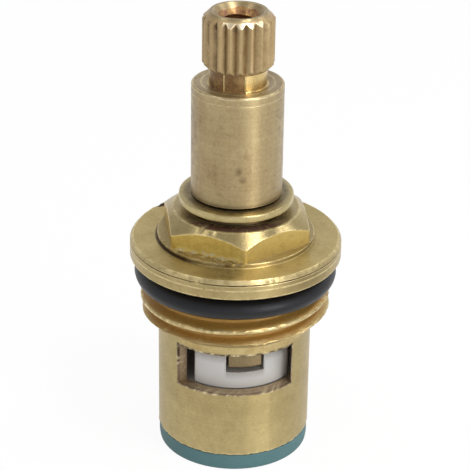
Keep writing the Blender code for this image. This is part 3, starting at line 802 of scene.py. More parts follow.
def open_window(data, facing, burr):
    """Mill a window through both walls of the barrel, with a straight right side, and burr its rim with
    painted glints.
    """
    def outside(point):
        return point.xy.length > BARREL_RADIUS - SEAT_GAP

    def right_side(point):
        return WINDOW_RIGHT if outside(point) else WINDOW_RIGHT_INSIDE

    def turn_from_facing(point):
        return (plan_angle(point) - facing + 180.0) % 360.0 - 180.0

    def in_window(face):
        middle = face.calc_center_median()
        if not WINDOW_FOOT < middle.z < WINDOW_TOP or middle.xy.length < CHAMBER_RADIUS - SEAT_GAP:
            return False
        return WINDOW_LEFT < turn_from_facing(middle) < right_side(middle)

    def round_rim(vert):
        """Where a rim point lies on its way round the opening, from 0 to 4 with a whole number a corner."""
        width = right_side(vert.co) - WINDOW_LEFT
        along = round((turn_from_facing(vert.co) - WINDOW_LEFT) / width, 5)
        up = round((vert.co.z - WINDOW_FOOT) / (WINDOW_TOP - WINDOW_FOOT), 5)
        if up <= 0.0:
            return along
        if along >= 1.0:
            return 1.0 + up
        return 3.0 - along if up >= 1.0 else 4.0 - up

    bmesh.ops.delete(data, geom=[f for f in data.faces if in_window(f)], context='FACES')
    rim = sorted((v for v in data.verts if v.is_boundary), key=round_rim)
    outer = [v for v in rim if outside(v.co)]
    inner = [v for v in rim if not outside(v.co)]
    walls = []
    i = j = 0
    while i < len(outer) or j < len(inner):
        out_here, in_here = outer[i % len(outer)], inner[j % len(inner)]
        out_next, in_next = outer[(i + 1) % len(outer)], inner[(j + 1) % len(inner)]
        out_way = round_rim(out_next) + 4.0 * (i + 1 >= len(outer)) if i < len(outer) else 9.0
        in_way = round_rim(in_next) + 4.0 * (j + 1 >= len(inner)) if j < len(inner) else 9.0
        corners = [out_here]
        if out_way <= in_way + 1e-4:
            corners.append(out_next)
            i += 1
        if in_way <= out_way + 1e-4:
            corners.append(in_next)
            j += 1
        walls.append(data.faces.new((*corners, in_here)))
    for face in walls:
        face.material_index = TORN
    outer_rim = [e for e in data.edges if all(v in outer for v in e.verts)
                 and any(f in walls for f in e.link_faces)]
    made = bmesh.ops.bevel(data, geom=outer_rim, offset=0.16 * MM, segments=3, affect='EDGES', profile=0.6)
    for face in made["faces"]:
        face.material_index = TORN
    wear_and_glint = data.verts.layers.float["wear_and_glint"]
    for vert in {v for f in made["faces"] for v in f.verts}:
        rough = noise.noise(vert.co * 2500.0)
        vert.co += outward(vert.co) * (rough * burr)
        vert.co.z += noise.noise(vert.co * 1800.0 + Vector((5, 0, 0))) * burr
        # Painted glints on the burrs
        vert[wear_and_glint] = max(0.0, min(0.8, 0.1 + 1.5 * rough))


def ragged(data, radius, level, reach, size, start=-180.0, end=180.0, lift=0.0, shine=1.0):
    """Tear an edge between two plan angles; its radius is a number or a function of the plan angle.

    lift raises a ridge along it, and shine is how bright a painted highlight along the tear is.
    """
    wear_and_glint = data.verts.layers.float["wear_and_glint"]
    for vert in data.verts:
        turn = plan_angle(vert.co)
        if abs(vert.co.z - level) < reach and start < turn < end:
            edge = radius(turn) if callable(radius) else radius
            away = math.hypot(vert.co.xy.length - edge, vert.co.z - level)
            fade = max(0.0, 1.0 - away / reach) * min(1.0, (turn - start) / 4.0, (end - turn) / 4.0)
            torn = lift + noise.noise(vert.co * 2200.0) + 0.5 * noise.noise(vert.co * 5200.0)
            vert.co += outward(vert.co) * (size * fade * torn)
            vert.co.z += size * fade * noise.noise(vert.co * 2600.0 + Vector((3, 7, 1)))
            vert[wear_and_glint] += (shine - vert[wear_and_glint]) * min(1.0, 2.0 * fade)


def tear_crests(target, sizes):
    """Roughen the thread's crests, as a blunt die leaves them, and paint highlights on them."""
    data = bmesh.new()
    data.from_mesh(target.data)
    wear_and_glint = data.verts.layers.float["wear_and_glint"]
    for vert in data.verts:
        radius = vert.co.xy.length
        if THREAD_FOOT - sizes.lead_lean < vert.co.z < THREAD_TOP and radius > BARREL_RADIUS + FIT_GAP:
            rise = (vert.co.z - sizes.thread_level) / sizes.thread_pitch - plan_angle(vert.co) / 360.0
            fade = 1.0 - abs(rise - round(rise)) * sizes.thread_pitch / (0.35 * MM)
            if fade > 0.0:
                torn = noise.noise(vert.co * 2000.0) + 0.5 * noise.noise(vert.co * 5000.0)
                inside = radius < sizes.thread_radius - 0.2 * MM
                vert.co += outward(vert.co) * ((torn if inside else min(0.0, torn)) * 0.2 * MM * fade)
                vert.co.z += torn * 0.15 * MM * fade
                vert[wear_and_glint] = max(0.0, min(1.0, fade * (0.5 + 1.5 * torn)))
    # Burrs that stand out along the top of the lead cone, with painted glints
    burr_radius, burr_level = 10.2 * MM, 17.0 * MM
    for turn, size in ((-48.0, 0.1), (-21.6, 0.18), (13.0, 0.2), (18.0, 0.24), (34.0, 0.1), (46.0, 0.14)):
        drop = sizes.lead_lean * max(0.0, -math.sin(math.radians(turn))) ** 2
        dent(data, burr_radius, turn, burr_level - drop, 0.5 * MM, size * MM, -0.08 * MM)
    data.to_mesh(target.data)
    data.free()


class CARTRIDGE_OT_housing(bpy.types.Operator):
    """Build the turned brass housing with its windows, pipe thread, flange and hexagon"""
    bl_idname = "cartridge.housing"
    bl_label = "Housing"

    def execute(self, context):
        sizes = context.scene.cartridge_housing
        columns = housing_columns(sizes)
        hexagon = hexagon_radius(columns, sizes)
        cone_slope = HEX_CONE_HEIGHT / (COLLAR_RADIUS - HEX_TOP_RADIUS)
        cone_foot = HOUSING_HIGH.z - (hexagon - HEX_TOP_RADIUS) * cone_slope
        rim = FLANGE_RADIUS
        lead_top = THREAD_FOOT + THREAD_LEAD
        band = THREAD_TOP - 0.4 * MM
        root = sizes.thread_radius - sizes.thread_depth
        relief_top = THREAD_TOP + 0.7 * MM
        row_gap = 0.06 * MM
        foot = BARREL_FOOT - 0.12 * MM
        window_rows = [WINDOW_FOOT + (WINDOW_TOP - WINDOW_FOOT) * i / 16 for i in range(17)]
        near_window = [WINDOW_FOOT - 0.3 * MM, WINDOW_TOP + 0.3 * MM]
        levels = [near_window[0], *window_rows, near_window[1]]
        profile = [
            (CHAMBER_RADIUS + 0.2 * MM, foot, 0.05 * MM),
            (BARREL_RADIUS - 0.08 * MM, foot, 0.05 * MM),
            (BARREL_RADIUS, foot + 0.1 * MM, 0.06 * MM),
            *[(BARREL_RADIUS, level, 0) for level in levels],
            *rows((BARREL_RADIUS, THREAD_FOOT), (sizes.thread_radius, lead_top), row_gap),
            *rows((sizes.thread_radius, lead_top), (sizes.thread_radius, band), row_gap, False),
            *rows((sizes.thread_radius, band), (root, relief_top - 0.3 * MM), row_gap),
            (root, relief_top, 0.05 * MM),
            (BARREL_RADIUS, relief_top, 0.1 * MM),
            (BARREL_RADIUS, FLANGE_FOOT + 0.1 * MM),
            (FLANGE_SEAT_RADIUS, FLANGE_FOOT + 0.1 * MM, 0.03 * MM),
            (FLANGE_SEAT_RADIUS, FLANGE_FOOT, 0.03 * MM),
            (rim - 0.1 * MM, FLANGE_FOOT, 0.06 * MM),
            (rim, FLANGE_FOOT + 0.1 * MM, 0.06 * MM),
            (rim, FLANGE_TOP - 1.1 * MM, 0.05 * MM),
            (rim - 0.02 * MM, FLANGE_TOP - 0.8 * MM, 0.05 * MM),
            (rim - 0.02 * MM, FLANGE_TOP - 0.62 * MM, 0.03 * MM),
            (rim - 0.11 * MM, FLANGE_GROOVE, 0.03 * MM),
            (rim - 0.01 * MM, FLANGE_TOP - 0.4 * MM, 0.03 * MM),
            (rim - 0.34 * MM, FLANGE_TOP, 0.06 * MM),
            *rows((rim - 0.5 * MM, FLANGE_TOP), (COLLAR_RADIUS + 0.3 * MM, FLANGE_TOP), 0.5 * MM),
            (COLLAR_RADIUS, FLANGE_TOP, 0.12 * MM),
            (COLLAR_RADIUS, HEX_FOOT, 0.08 * MM),
            ((hexagon + COLLAR_RADIUS) / 2, HEX_FOOT, 0),
            (hexagon, HEX_FOOT, 0.04 * MM),
            *[(hexagon, HEX_FOOT + height * MM, 0) for height in (0.15, 0.3, 0.45, 0.6)],
            (hexagon, cone_foot, 0.05 * MM),
            (HEX_TOP_RADIUS, HOUSING_HIGH.z),
            (GLAND_RADIUS + 0.2 * MM, HOUSING_HIGH.z, 0.05 * MM),
            (GLAND_RADIUS, HOUSING_HIGH.z - 0.2 * MM, 0.05 * MM),
            (GLAND_RADIUS, SHOULDER, 0.05 * MM),
            (CHAMBER_RADIUS, SHOULDER, 0.1 * MM),
            *[(CHAMBER_RADIUS, level, 0) for level in reversed(levels)],
            (CHAMBER_RADIUS, foot + 0.2 * MM, 0.05 * MM),
        ]
        data = lathe(columns, rounded(profile, sizes.edge))
        # The lead cone was cut a little askew, deeper on the left
        for vert in data.verts:
            if vert.co.xy.length > BARREL_RADIUS - FIT_GAP and THREAD_FOOT - FIT_GAP < vert.co.z < band:
                left = max(0.0, -vert.co.x / vert.co.xy.length) ** 2
                vert.co.z -= sizes.lead_lean * left * min(1.0, (band - vert.co.z) / (band - lead_top))
        for facing in FRONT_AND_BACK:
            open_window(data, facing, sizes.burr)
        # Burrs left by the cutter on the collar, under the left flat, and on the flange's and barrel's edges,
        # with painted highlights along the flange's and barrel's edges
        ragged(data, COLLAR_RADIUS, HEX_FOOT, 0.35 * MM, 0.2 * MM, -75.0, 5.0, shine=0.0)
        ragged(data, lambda turn: hexagon_radius(turn, sizes), HEX_FOOT + 0.12 * MM, 0.42 * MM, 0.2 * MM,
               -50.0, 6.0, lift=0.9, shine=0.3)
        ragged(data, FLANGE_RADIUS - 0.1 * MM, FLANGE_TOP, 0.4 * MM, 0.06 * MM)
        ragged(data, BARREL_RADIUS, foot, 0.3 * MM, 0.09 * MM)
        # Painted highlight along the front of the bevel
        wear_and_glint = data.verts.layers.float["wear_and_glint"]
        for vert in data.verts:
            if vert.co.z > FLANGE_TOP - 0.42 * MM and FLANGE_RADIUS - 0.4 * MM < vert.co.xy.length:
                bevel_highlight = 2.0 - abs(plan_angle(vert.co) + 5.0) / 7.0
                vert[wear_and_glint] = max(vert[wear_and_glint], min(1.0, bevel_highlight))
        # Knocks on the flange's edge and on the rim of the flat top; the bright ones carry painted glints
        for radius, turn, height, reach, outwards, upwards, bright in (
                (FLANGE_RADIUS, 19.0, FLANGE_TOP - 0.25 * MM, 0.6, -0.18, -0.08, True),
                (FLANGE_RADIUS, -21.0, FLANGE_TOP - 0.3 * MM, 0.7, -0.2, -0.08, True),
                (FLANGE_RADIUS, -128.0, FLANGE_TOP, 0.8, -0.15, -0.1, False),
                (6.9 * MM, -31.0, HOUSING_HIGH.z, 0.4, -0.08, -0.12, True),
                (7.2 * MM, -20.0, HOUSING_HIGH.z - 0.2 * MM, 0.4, -0.08, -0.1, True)):
            dent(data, radius, turn, height, reach * MM, outwards * MM, upwards * MM, bright)
        body = plain_object("housing_body", data)

        # Stop ribs under the shoulder, and the slots that hold the fixed disc's ears
        combine(body, 'UNION', sector, (FOOT_HUB_RADIUS + SEAT_GAP, CHAMBER_RADIUS + 0.6 * MM, 6.0),
                STOP_TURNS, FOOT_BOTTOM + FIT_GAP, SHOULDER + 0.6 * MM)
        combine(body, 'DIFFERENCE', bar_end,
                (CHAMBER_RADIUS - 1.0 * MM, CHAMBER_RADIUS + 0.5 * MM, EAR_WIDTH + 0.2 * MM),
                BOTH_SIDES, BARREL_FOOT - SEAT_GAP, PLATE_HIGH.z + FIT_GAP)

        # Free turning brass from a bar: satin with fine lines round it, brown where it was touched; painted
        # shade round the gland and in the flange's groove, a painted shadow at the collar's foot, a painted
        # reflection on the flange top and painted shade on the flange's right side
        turned = brass("turned_brass_satin", sizes.pale, sizes.dark, 0.41, 0.75, 0.3 * MM, 2.5 * MM, coat=0.1,
                       film=painted_shade_round_gland, film_colour="#4E3222", dirt_and_shade=painted_shade_on_housing)
        # Chamfer over the hexagon: turned last with a fine feed, so it shines more; it shares the painted
        # shade round the gland
        chamfer = brass("chamfered_hexagon_brass", sizes.pale, sizes.dark, 0.32, 0.75, 0.3 * MM, 2.0 * MM,
                        film=painted_shade_round_gland, film_colour="#4E3222", rough_skin=0.05 * MM)
        # Top of the flange: a lighter, yellower copy of the turned brass, painted light
        flange_top_lit = brass("flange_top_painted_light", "#D2BF82", "#B7A067", 0.41, 0.75, 0.3 * MM, 2.5 * MM,
                      smudge=0.45, coat=0.1, dirt_and_shade=painted_shade_on_housing, spot=0.7 * MM)
        # Die cut thread: clean crests, an orange brown oxide film in the grooves, and painted shade under
        # each crest
        thread = brass("cut_thread_brass", "#CDBB88", "#A98F5A", 0.38, 0.4, 0.2 * MM, 2.0 * MM, smudge=0.6,
                       film=film_in_grooves, film_colour="#A67C34", dirt_and_shade=painted_shade_under_crests, spot=0.6 * MM)
        # Milled flats: yellower metal with a cutter's coarse lines, and painted light on those that face
        # right
        milled = brass("milled_hexagon_brass", "#C4AA5C", "#A98D44", 0.42, 0.2, 0.5 * MM, 1.2 * MM,
                       smudge=0.5, coat=0.1, film=painted_light_on_right, film_colour="#CBB77A", film_metal=0.55,
                       rough_skin=0.07 * MM, spot=0.6 * MM)
        # Torn walls of the windows: rough, with painted shade along their outer edge
        torn = brass("torn_window_brass", "#D8C69C", "#7A5E38", 0.4, 0.1, 0.25 * MM, 0.5 * MM, smudge=0.6,
                     film=film_everywhere, film_colour="#9C8470", dirt_and_shade=painted_shade_in_window,
                     rough_skin=0.08 * MM, spot=0.4 * MM)
        for look in (turned, thread, milled, torn, chamfer, flange_top_lit):
            body.data.materials.append(look)
        for face in body.data.polygons:
            level, reach = face.center.z, face.center.xy.length
            if HEX_FOOT + 0.1 * MM < level and reach > GLAND_RADIUS + 1.9 * MM and abs(face.normal.z) < 0.3:
                face.material_index = MILLED
            elif level > HEX_FOOT + 0.6 * MM and reach > GLAND_RADIUS + 0.2 * MM:
                face.material_index = CHAMFERED
            elif abs(level - FLANGE_TOP) < 0.1 * MM and COLLAR_RADIUS < reach < FLANGE_SEAT_RADIUS:
                face.material_index = FLANGE_TOP_LIT
        run_tree(body, thread_tree("cut_pipe_thread", sizes.thread_radius + FIT_GAP, 'MINIMUM'), thread, {
            "Crest Radius": sizes.thread_radius, "Root Radius": sizes.thread_radius - sizes.thread_depth,
            "Pitch": sizes.thread_pitch, "Level": sizes.thread_level,
            "Foot": THREAD_FOOT - sizes.lead_lean, "Top": relief_top + 0.05 * MM})
        tear_crests(body, sizes)
        finished(body, "root", "turned_brass", ["housing"])
        return {'FINISHED'}


class CARTRIDGE_OT_spindle(bpy.types.Operator):
    """Build the brass spindle with its lugs, ring grooves, stem, neck and splined end"""
    bl_idname = "cartridge.spindle"
    bl_label = "Spindle"

    def execute(self, context):
        sizes = context.scene.cartridge_spindle
        clip_floor = STEM_RADIUS - 0.65 * MM
        clip_foot, clip_top = CLIP_LOW.z - FIT_GAP, CLIP_HIGH.z + FIT_GAP
        top = SPINDLE_HIGH.z
        chamfer_foot = top - SPLINE_CHAMFER
        profile = [(0.0, FOOT_BOTTOM), (FOOT_HUB_RADIUS, FOOT_BOTTOM), (FOOT_HUB_RADIUS, FOOT_TOP),
                   (STEM_RADIUS, FOOT_TOP)]
        for groove_top in (GROOVE_TOP - GROOVE_PITCH, GROOVE_TOP):
            groove_foot = groove_top - GROOVE_HEIGHT
            profile += [(STEM_RADIUS, groove_foot), (GROOVE_FLOOR_RADIUS, groove_foot),
                        (GROOVE_FLOOR_RADIUS, groove_top), (STEM_RADIUS, groove_top)]
        profile += [
            (STEM_RADIUS, clip_foot, 0.05 * MM),
            (clip_floor, clip_foot, 0.05 * MM),
            (clip_floor, clip_top, 0.05 * MM),
            (STEM_RADIUS, clip_top, 0.06 * MM),
            *rows((STEM_RADIUS, clip_top + 0.6 * MM), (STEM_RADIUS, STEM_TOP - 1.2 * MM), 0.8 * MM),
            (STEM_RADIUS, STEM_TOP - 0.98 * MM, 0.02 * MM),
            (STEM_RADIUS - 0.03 * MM, STEM_TOP - 0.94 * MM, 0.02 * MM),
            (STEM_RADIUS, STEM_TOP - 0.9 * MM, 0.02 * MM),
            (STEM_RADIUS, STEM_TOP - 0.14 * MM, 0.06 * MM),
            (STEM_RADIUS - 0.14 * MM, STEM_TOP, 0.06 * MM),
            (SPLINE_RADIUS + FIT_GAP, STEM_TOP, 0.05 * MM),
            (NECK_RADIUS, STEM_TOP - 0.1 * MM),
            (NECK_RADIUS, SPLINE_FOOT, 0.05 * MM),
            *rows((NECK_RADIUS + 0.22 * MM, SPLINE_FOOT), (SPLINE_RADIUS, SPLINE_FOOT + 0.5 * MM), 0.05 * MM),
            *rows((SPLINE_RADIUS, SPLINE_FOOT + 0.5 * MM), (SPLINE_RADIUS, chamfer_foot), 0.5 * MM, False),
            *rows((SPLINE_RADIUS, chamfer_foot), (SPLINE_RADIUS - SPLINE_CHAMFER, top), 0.05 * MM),
            (COUNTERSINK_RADIUS, top, 0.06 * MM),
            *rows((COUNTERSINK_RADIUS, top),
                  (HOLE_THREAD_RADIUS, top - (COUNTERSINK_RADIUS - HOLE_THREAD_RADIUS)), 0.08 * MM)[1:],
            *rows((HOLE_RADIUS, top - 1.0 * MM), (HOLE_RADIUS, top - 6.0 * MM), 0.07 * MM),
            (HOLE_RADIUS, HOLE_FLOOR + 0.9 * MM, 0),
            (0.0, HOLE_FLOOR),
        ]
        columns = math.degrees(sizes.tooth_turn) + EVEN_COLUMNS
        data = lathe(columns, rounded(profile, sizes.edge, loop=False), loop=False)
        # Two raised scratches run down the neck from the teeth, with painted highlights along them
        wear_and_glint = data.verts.layers.float["wear_and_glint"]
        for vert in data.verts:
            turn = plan_angle(vert.co)
            on_neck = abs(vert.co.xy.length - NECK_RADIUS) < 0.02 * MM and vert.co.z > STEM_TOP - 0.2 * MM
            if on_neck and min(abs(turn + 28.0), abs(turn - 14.0)) < 0.8:
                vert.co += outward(vert.co) * 0.06 * MM
                vert[wear_and_glint] = 1.0
        shaft = plain_object("spindle_shaft", data)

        # Stop wings of the foot, and the lugs under them that drive the moving disc
        combine(shaft, 'UNION', sector, (FOOT_HUB_RADIUS - 1.3 * MM, FOOT_RADIUS, FOOT_HALF_ANGLE),
                REST_TURNS, FOOT_BOTTOM, FOOT_TOP)
        combine(shaft, 'UNION', bar_end, (LUG_INNER_RADIUS, FOOT_RADIUS, LUG_WIDTH),
                REST_TURNS, SPINDLE_LOW.z, FOOT_BOTTOM + 1.3 * MM, bevel=0.15 * MM)

        # Stem brass: satin, with streaks along it, purple brown scuffs at the sides, two rub marks and
        # painted shade round its foot
        stem = brass("stem_brass_handled", sizes.pale, sizes.dark, 0.42, 0.7, 0.35 * MM, 5.0 * MM, streak=0.7,
                     film=film_on_scuffs, film_colour="#74605A", dirt_and_shade=rub_marks_and_painted_shade)
        # Cut spline: a drier, broken surface that shines less, with painted shade in its grooves
        spline = brass("cut_spline_brass", "#C4AC84", "#977E56", 0.40, 0.3, 0.3 * MM, 2.0 * MM, streak=0.9,
                       film=film_everywhere, film_colour="#A38B5F", dirt_and_shade=painted_shade_in_teeth, rough_skin=0.06 * MM)
        # Tips of the front teeth: a painted highlight where the chamfer faces the lamps
        tip = brass("tip_painted_highlight_brass", "#F4E6C6", "#C4AE86", 0.32, 0.3, 0.2 * MM, 1.0 * MM, smudge=0.5,
                    rough_skin=0.05 * MM, spot=0.5 * MM)
        # Neck: polished by the tool's nose, in light brass with painted shade on its left for the dark it
        # mirrors
        neck = brass("polished_neck_brass", "#E6CD92", "#C4A669", 0.3, 0.6, 0.4 * MM, 2.0 * MM,
                     film=painted_shade_on_neck, film_colour="#6E4C28", film_metal=0.6)
        # Tapped hole: painted dark, as shade down the hole
        tapped = brass("tapped_hole_painted_shade", "#D9B56A", "#8A5630", 0.3, 0.2, 0.3 * MM, 0.6 * MM, smudge=0.8,
                       film=film_everywhere, film_colour="#6A3A2C", spot=0.5 * MM)
        looks = shaft.data.materials
        for look in (stem, spline, neck):
            looks.append(look)
        for face in shaft.data.polygons:
            level, reach = face.center.z, face.center.xy.length
            if STEM_TOP - 0.11 * MM < level < SPLINE_FOOT - 0.05 * MM and reach < 3.25 * MM:
                face.material_index = looks.find(neck.name)
        run_tree(shaft, spline_tree(), spline, {
            "Crest Radius": SPLINE_RADIUS, "Depth": sizes.tooth_depth, "Teeth": sizes.teeth,
            "Crest Share": sizes.tooth_crest, "Turn": sizes.tooth_turn, "Foot": SPLINE_FOOT - 0.1 * MM})
        run_tree(shaft, thread_tree("cut_screw_thread", HOLE_THREAD_RADIUS + FIT_GAP, 'MAXIMUM'), tapped, {
            "Crest Radius": HOLE_RADIUS, "Root Radius": HOLE_THREAD_RADIUS, "Pitch": 0.7 * MM,
            "Level": top, "Foot": top - 5.8 * MM, "Top": top - 0.72 * MM})
        looks = shaft.data.materials
        looks.append(tip)
        for face in shaft.data.polygons:
            down = top - face.center.z
            reach = face.center.xy.length
            uncut = min(SPLINE_RADIUS, SPLINE_RADIUS - SPLINE_CHAMFER + down)
            at_tip = 0.3 * MM < down < SPLINE_CHAMFER + 0.05 * MM and reach > uncut - 0.05 * MM
            # Painted highlight on the front teeth's tips
            if at_tip and -28.0 < plan_angle(face.center) < 45.0:
                face.material_index = looks.find(tip.name)
            worn_to = (0.45 + 0.2 * noise.noise(face.center * 900.0)) * MM
            if worn_to < down < 0.75 * MM and reach < COUNTERSINK_RADIUS:
                face.material_index = looks.find(tapped.name)
        finished(shaft, "spindle", "stem_brass", ["spindle"])
        return {'FINISHED'}


class CARTRIDGE_OT_clip(bpy.types.Operator):
    """Build the open brass clip above the hexagon"""
    bl_idname = "cartridge.clip"
    bl_label = "Retaining clip"

    def execute(self, context):
        sizes = context.scene.cartridge_spindle
        high = CLIP_LOW.z + sizes.clip_section
        outline = sector(CLIP_INNER_RADIUS, CLIP_OUTER_RADIUS, 180.0 - CLIP_MOUTH, REST_TURN)
        data = raised([outline], CLIP_LOW.z, high)
        bevel_rims(data, [CLIP_LOW.z, high], 0.18 * MM, 4)
        lean = Matrix.Rotation(sizes.clip_lean, 4, 'X')
        middle = Matrix.Translation((0.0, 0.0, (CLIP_LOW.z + CLIP_HIGH.z) / 2))
        data.transform(middle @ lean @ middle.inverted())
        clip = plain_object("clip_ring", data)
        # Stamped spring brass: smooth faces, brighter along the rounded rim, with painted shade beside the
        # stem
        look = brass("clip_spring_brass", "#CABB8A", "#A89766", 0.34, 0.3, 0.3 * MM, 2.5 * MM, smudge=0.5,
                     dirt_and_shade=painted_shade_on_clip)
        finished(clip, "spindle", "clip_brass", ["retaining_clip"], look)
        return {'FINISHED'}


def torus(radius, section, level, mould_line=0.0, around=180, wobble=0.0, sag=0.0):
    """bmesh of a rubber ring with a faint mould line round its outside; sag is how low its two sides hang."""
    steps = 40
    columns = np.arange(around) * 360.0 / around
    turns = np.radians(columns)
    sway = wobble * np.sin(2 * turns + math.radians(40.0)) - sag * np.sin(turns) ** 2
    stations = []
    for i in range(steps):
        bend = 2 * math.pi * i / steps
        ridge = mould_line if i == 0 else 0.0
        stations.append([radius + (section / 2 + ridge) * math.cos(bend) + 0 * turns,
                         level + section / 2 * math.sin(bend) + sway, 0 * turns])
    return lathe(columns, np.array(stations))


class CARTRIDGE_OT_rubber(bpy.types.Operator):
    """Build the rubber rings and the green seal"""
    bl_idname = "cartridge.rubber"
    bl_label = "Rubber rings and seal"

    def execute(self, context):
        tones = context.scene.cartridge_soft
        # Nitrile rubber, moulded and greased: nearly black, with a soft shine along the top
        black = moulded("black_nitrile_rubber", tones.black_rubber, 0.4, 0.25, 0.4 * MM, ior=1.38)
        # Silicone rubber, moulded: matt blue green with a chalky bloom
        green = moulded("green_silicone_rubber", tones.green_rubber, 0.55, 0.12, 0.5 * MM, ior=1.43)
        level = (RING_HIGH.z + RING_LOW.z) / 2
        data = torus(RING_HIGH.x - BODY_RING_SECTION / 2, BODY_RING_SECTION, level, mould_line=0.03 * MM,
                     around=240, wobble=0.03 * MM, sag=0.12 * MM)
        ring = plain_object("body_o_ring", data)
        finished(ring, "root", "black_rubber", ["body_ring"], black)
        for name, node in (("gland_ring_lower", "spindle_ring_lower"),
                           ("gland_ring_upper", "spindle_ring_upper")):
            low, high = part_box(node)
            made = plain_object(name, torus(GLAND_RING_RADIUS, GLAND_RING_SECTION, (low.z + high.z) / 2))
            finished(made, "spindle", "black_rubber", [node], black)
        sleeve = CHAMBER_RADIUS - FIT_GAP
        # The rubber bulges up to the barrel's edge all round, a little unevenly
        lip_top = BARREL_FOOT - 0.18 * MM
        profile = [
            (SEAL_BORE, 0.4 * MM, 0.15 * MM),
            (SEAL_BORE + 0.4 * MM, 0.0, 0.15 * MM),
            (SEAL_RADIUS - 0.07 * MM, 0.0, 0.1 * MM),
            (SEAL_RADIUS, 0.5 * MM, 0.1 * MM),
            (SEAL_RADIUS, lip_top, 0.08 * MM),
            (sleeve, lip_top, 0.1 * MM),
            (sleeve, SEAL_TOP, 0.15 * MM),
            (SEAL_BORE + 0.5 * MM, SEAL_TOP),
            (SEAL_BORE + 0.5 * MM, SEAL_TOP - 1.1 * MM),
            (SEAL_BORE, SEAL_TOP - 1.1 * MM),
        ]
        data = lathe(EVEN_COLUMNS, rounded(profile, 0.08 * MM))
        for vert in data.verts:
            if vert.co.xy.length > 8.1 * MM and vert.co.z > 0.3 * MM:
                vert.co.z += 0.05 * MM * noise.noise(vert.co * 900.0)
        seal = plain_object("green_seal", data)
        finished(seal, "root", "green_rubber", ["valve_seal"], green)
        return {'FINISHED'}


def wing_outline(waist, radius, half_angle, corner, turn):
    """Plan outline of the moving disc: two wings with round corners on a round waist."""
    outline = []
    inset = math.degrees(corner / radius)
    for facing in (turn, turn + 180.0):
        for side in (-1.0, 1.0):
            if side > 0:
                outline += arc(radius, facing - half_angle + inset, facing + half_angle - inset)
            edge_turn = facing + side * half_angle
            tip = Vector(polar(radius, edge_turn))
            on_rim = Vector(polar(radius, edge_turn - side * inset))
            on_side = Vector(polar(radius - corner, edge_turn))
            steps = [k / 6 for k in range(7)]
            bend = [on_rim * (1 - s) ** 2 + tip * 2 * s * (1 - s) + on_side * s * s for s in steps]
            if side < 0:
                bend.reverse()
            outline += [tuple(p) for p in (bend[:-1] if side < 0 else bend[1:])]
        outline += arc(waist, facing + half_angle, facing + 180.0 - half_angle, 6.0)
    return outline


def soften(target, width, segments):
    """Round the edges of a piece and keep the plain result."""
    step = target.modifiers.new("edges", 'BEVEL')
    step.limit_method = 'ANGLE'
    step.angle_limit = math.radians(40.0)
    step.width = width
    step.segments = segments
    made_plain(target)


class CARTRIDGE_OT_discs(bpy.types.Operator):
    """Build the two lapped ceramic discs"""
    bl_idname = "cartridge.discs"
    bl_label = "Ceramic discs"

    def execute(self, context):
        tones = context.scene.cartridge_soft
        # Sintered alumina, lapped: bright white and smooth, with a faint grey grain; one has painted shadow
        # along its upper edge and under its notch
        ceramic, shadowed_ceramic = (moulded(name, tones.ceramic, 0.35, 0.03, 0.25 * MM, ior=1.76,
                                    bump_height=0.004 * MM, scatter=0.5, film=film)
                            for name, film in (("lapped_alumina", None), ("alumina_painted_shadow", painted_shadow_on_disc)))
        data = raised([wing_outline(DISC_WAIST, DISC_RADIUS, DISC_HALF_ANGLE, 0.4 * MM, REST_TURN)],
                      DISC_LOW.z, DISC_HIGH.z)
        disc = plain_object("moving_ceramic_disc", data)
        notch_floor = 11.67 * MM
        combine(disc, 'DIFFERENCE', bar_end,
                (LUG_INNER_RADIUS - SEAT_GAP, DISC_RADIUS + 1.5 * MM, LUG_WIDTH + 2 * SEAT_GAP),
                REST_TURNS, notch_floor, DISC_HIGH.z + SEAT_GAP)
        soften(disc, 0.4 * MM, 5)
        finished(disc, "moving_disc", "white_ceramic", ["moving_disc"], shadowed_ceramic)

        profile = [
            (0.0, PLATE_LOW.z),
            (DISC_RADIUS - 0.3 * MM, PLATE_LOW.z),
            (DISC_RADIUS, PLATE_LOW.z + 0.3 * MM),
            (DISC_RADIUS, PLATE_HIGH.z),
            (0.0, PLATE_HIGH.z),
        ]
        data = lathe(EVEN_COLUMNS, rounded(profile, 0.08 * MM, loop=False), loop=False)
        plate = plain_object("fixed_ceramic_disc", data)
        combine(plate, 'UNION', bar_end, (DISC_RADIUS - 1.35 * MM, DISC_RADIUS + 0.55 * MM, EAR_WIDTH),
                BOTH_SIDES, PLATE_LOW.z + 0.3 * MM, PLATE_HIGH.z - 0.3 * MM)
        combine(plate, 'DIFFERENCE', sector, (PORT_INNER_RADIUS, PORT_OUTER_RADIUS, PORT_HALF_ANGLE),
                FRONT_AND_BACK, PLATE_LOW.z - SEAT_GAP, PLATE_HIGH.z + SEAT_GAP)
        finished(plate, "root", "white_ceramic", ["fixed_disc"], ceramic)
        return {'FINISHED'}


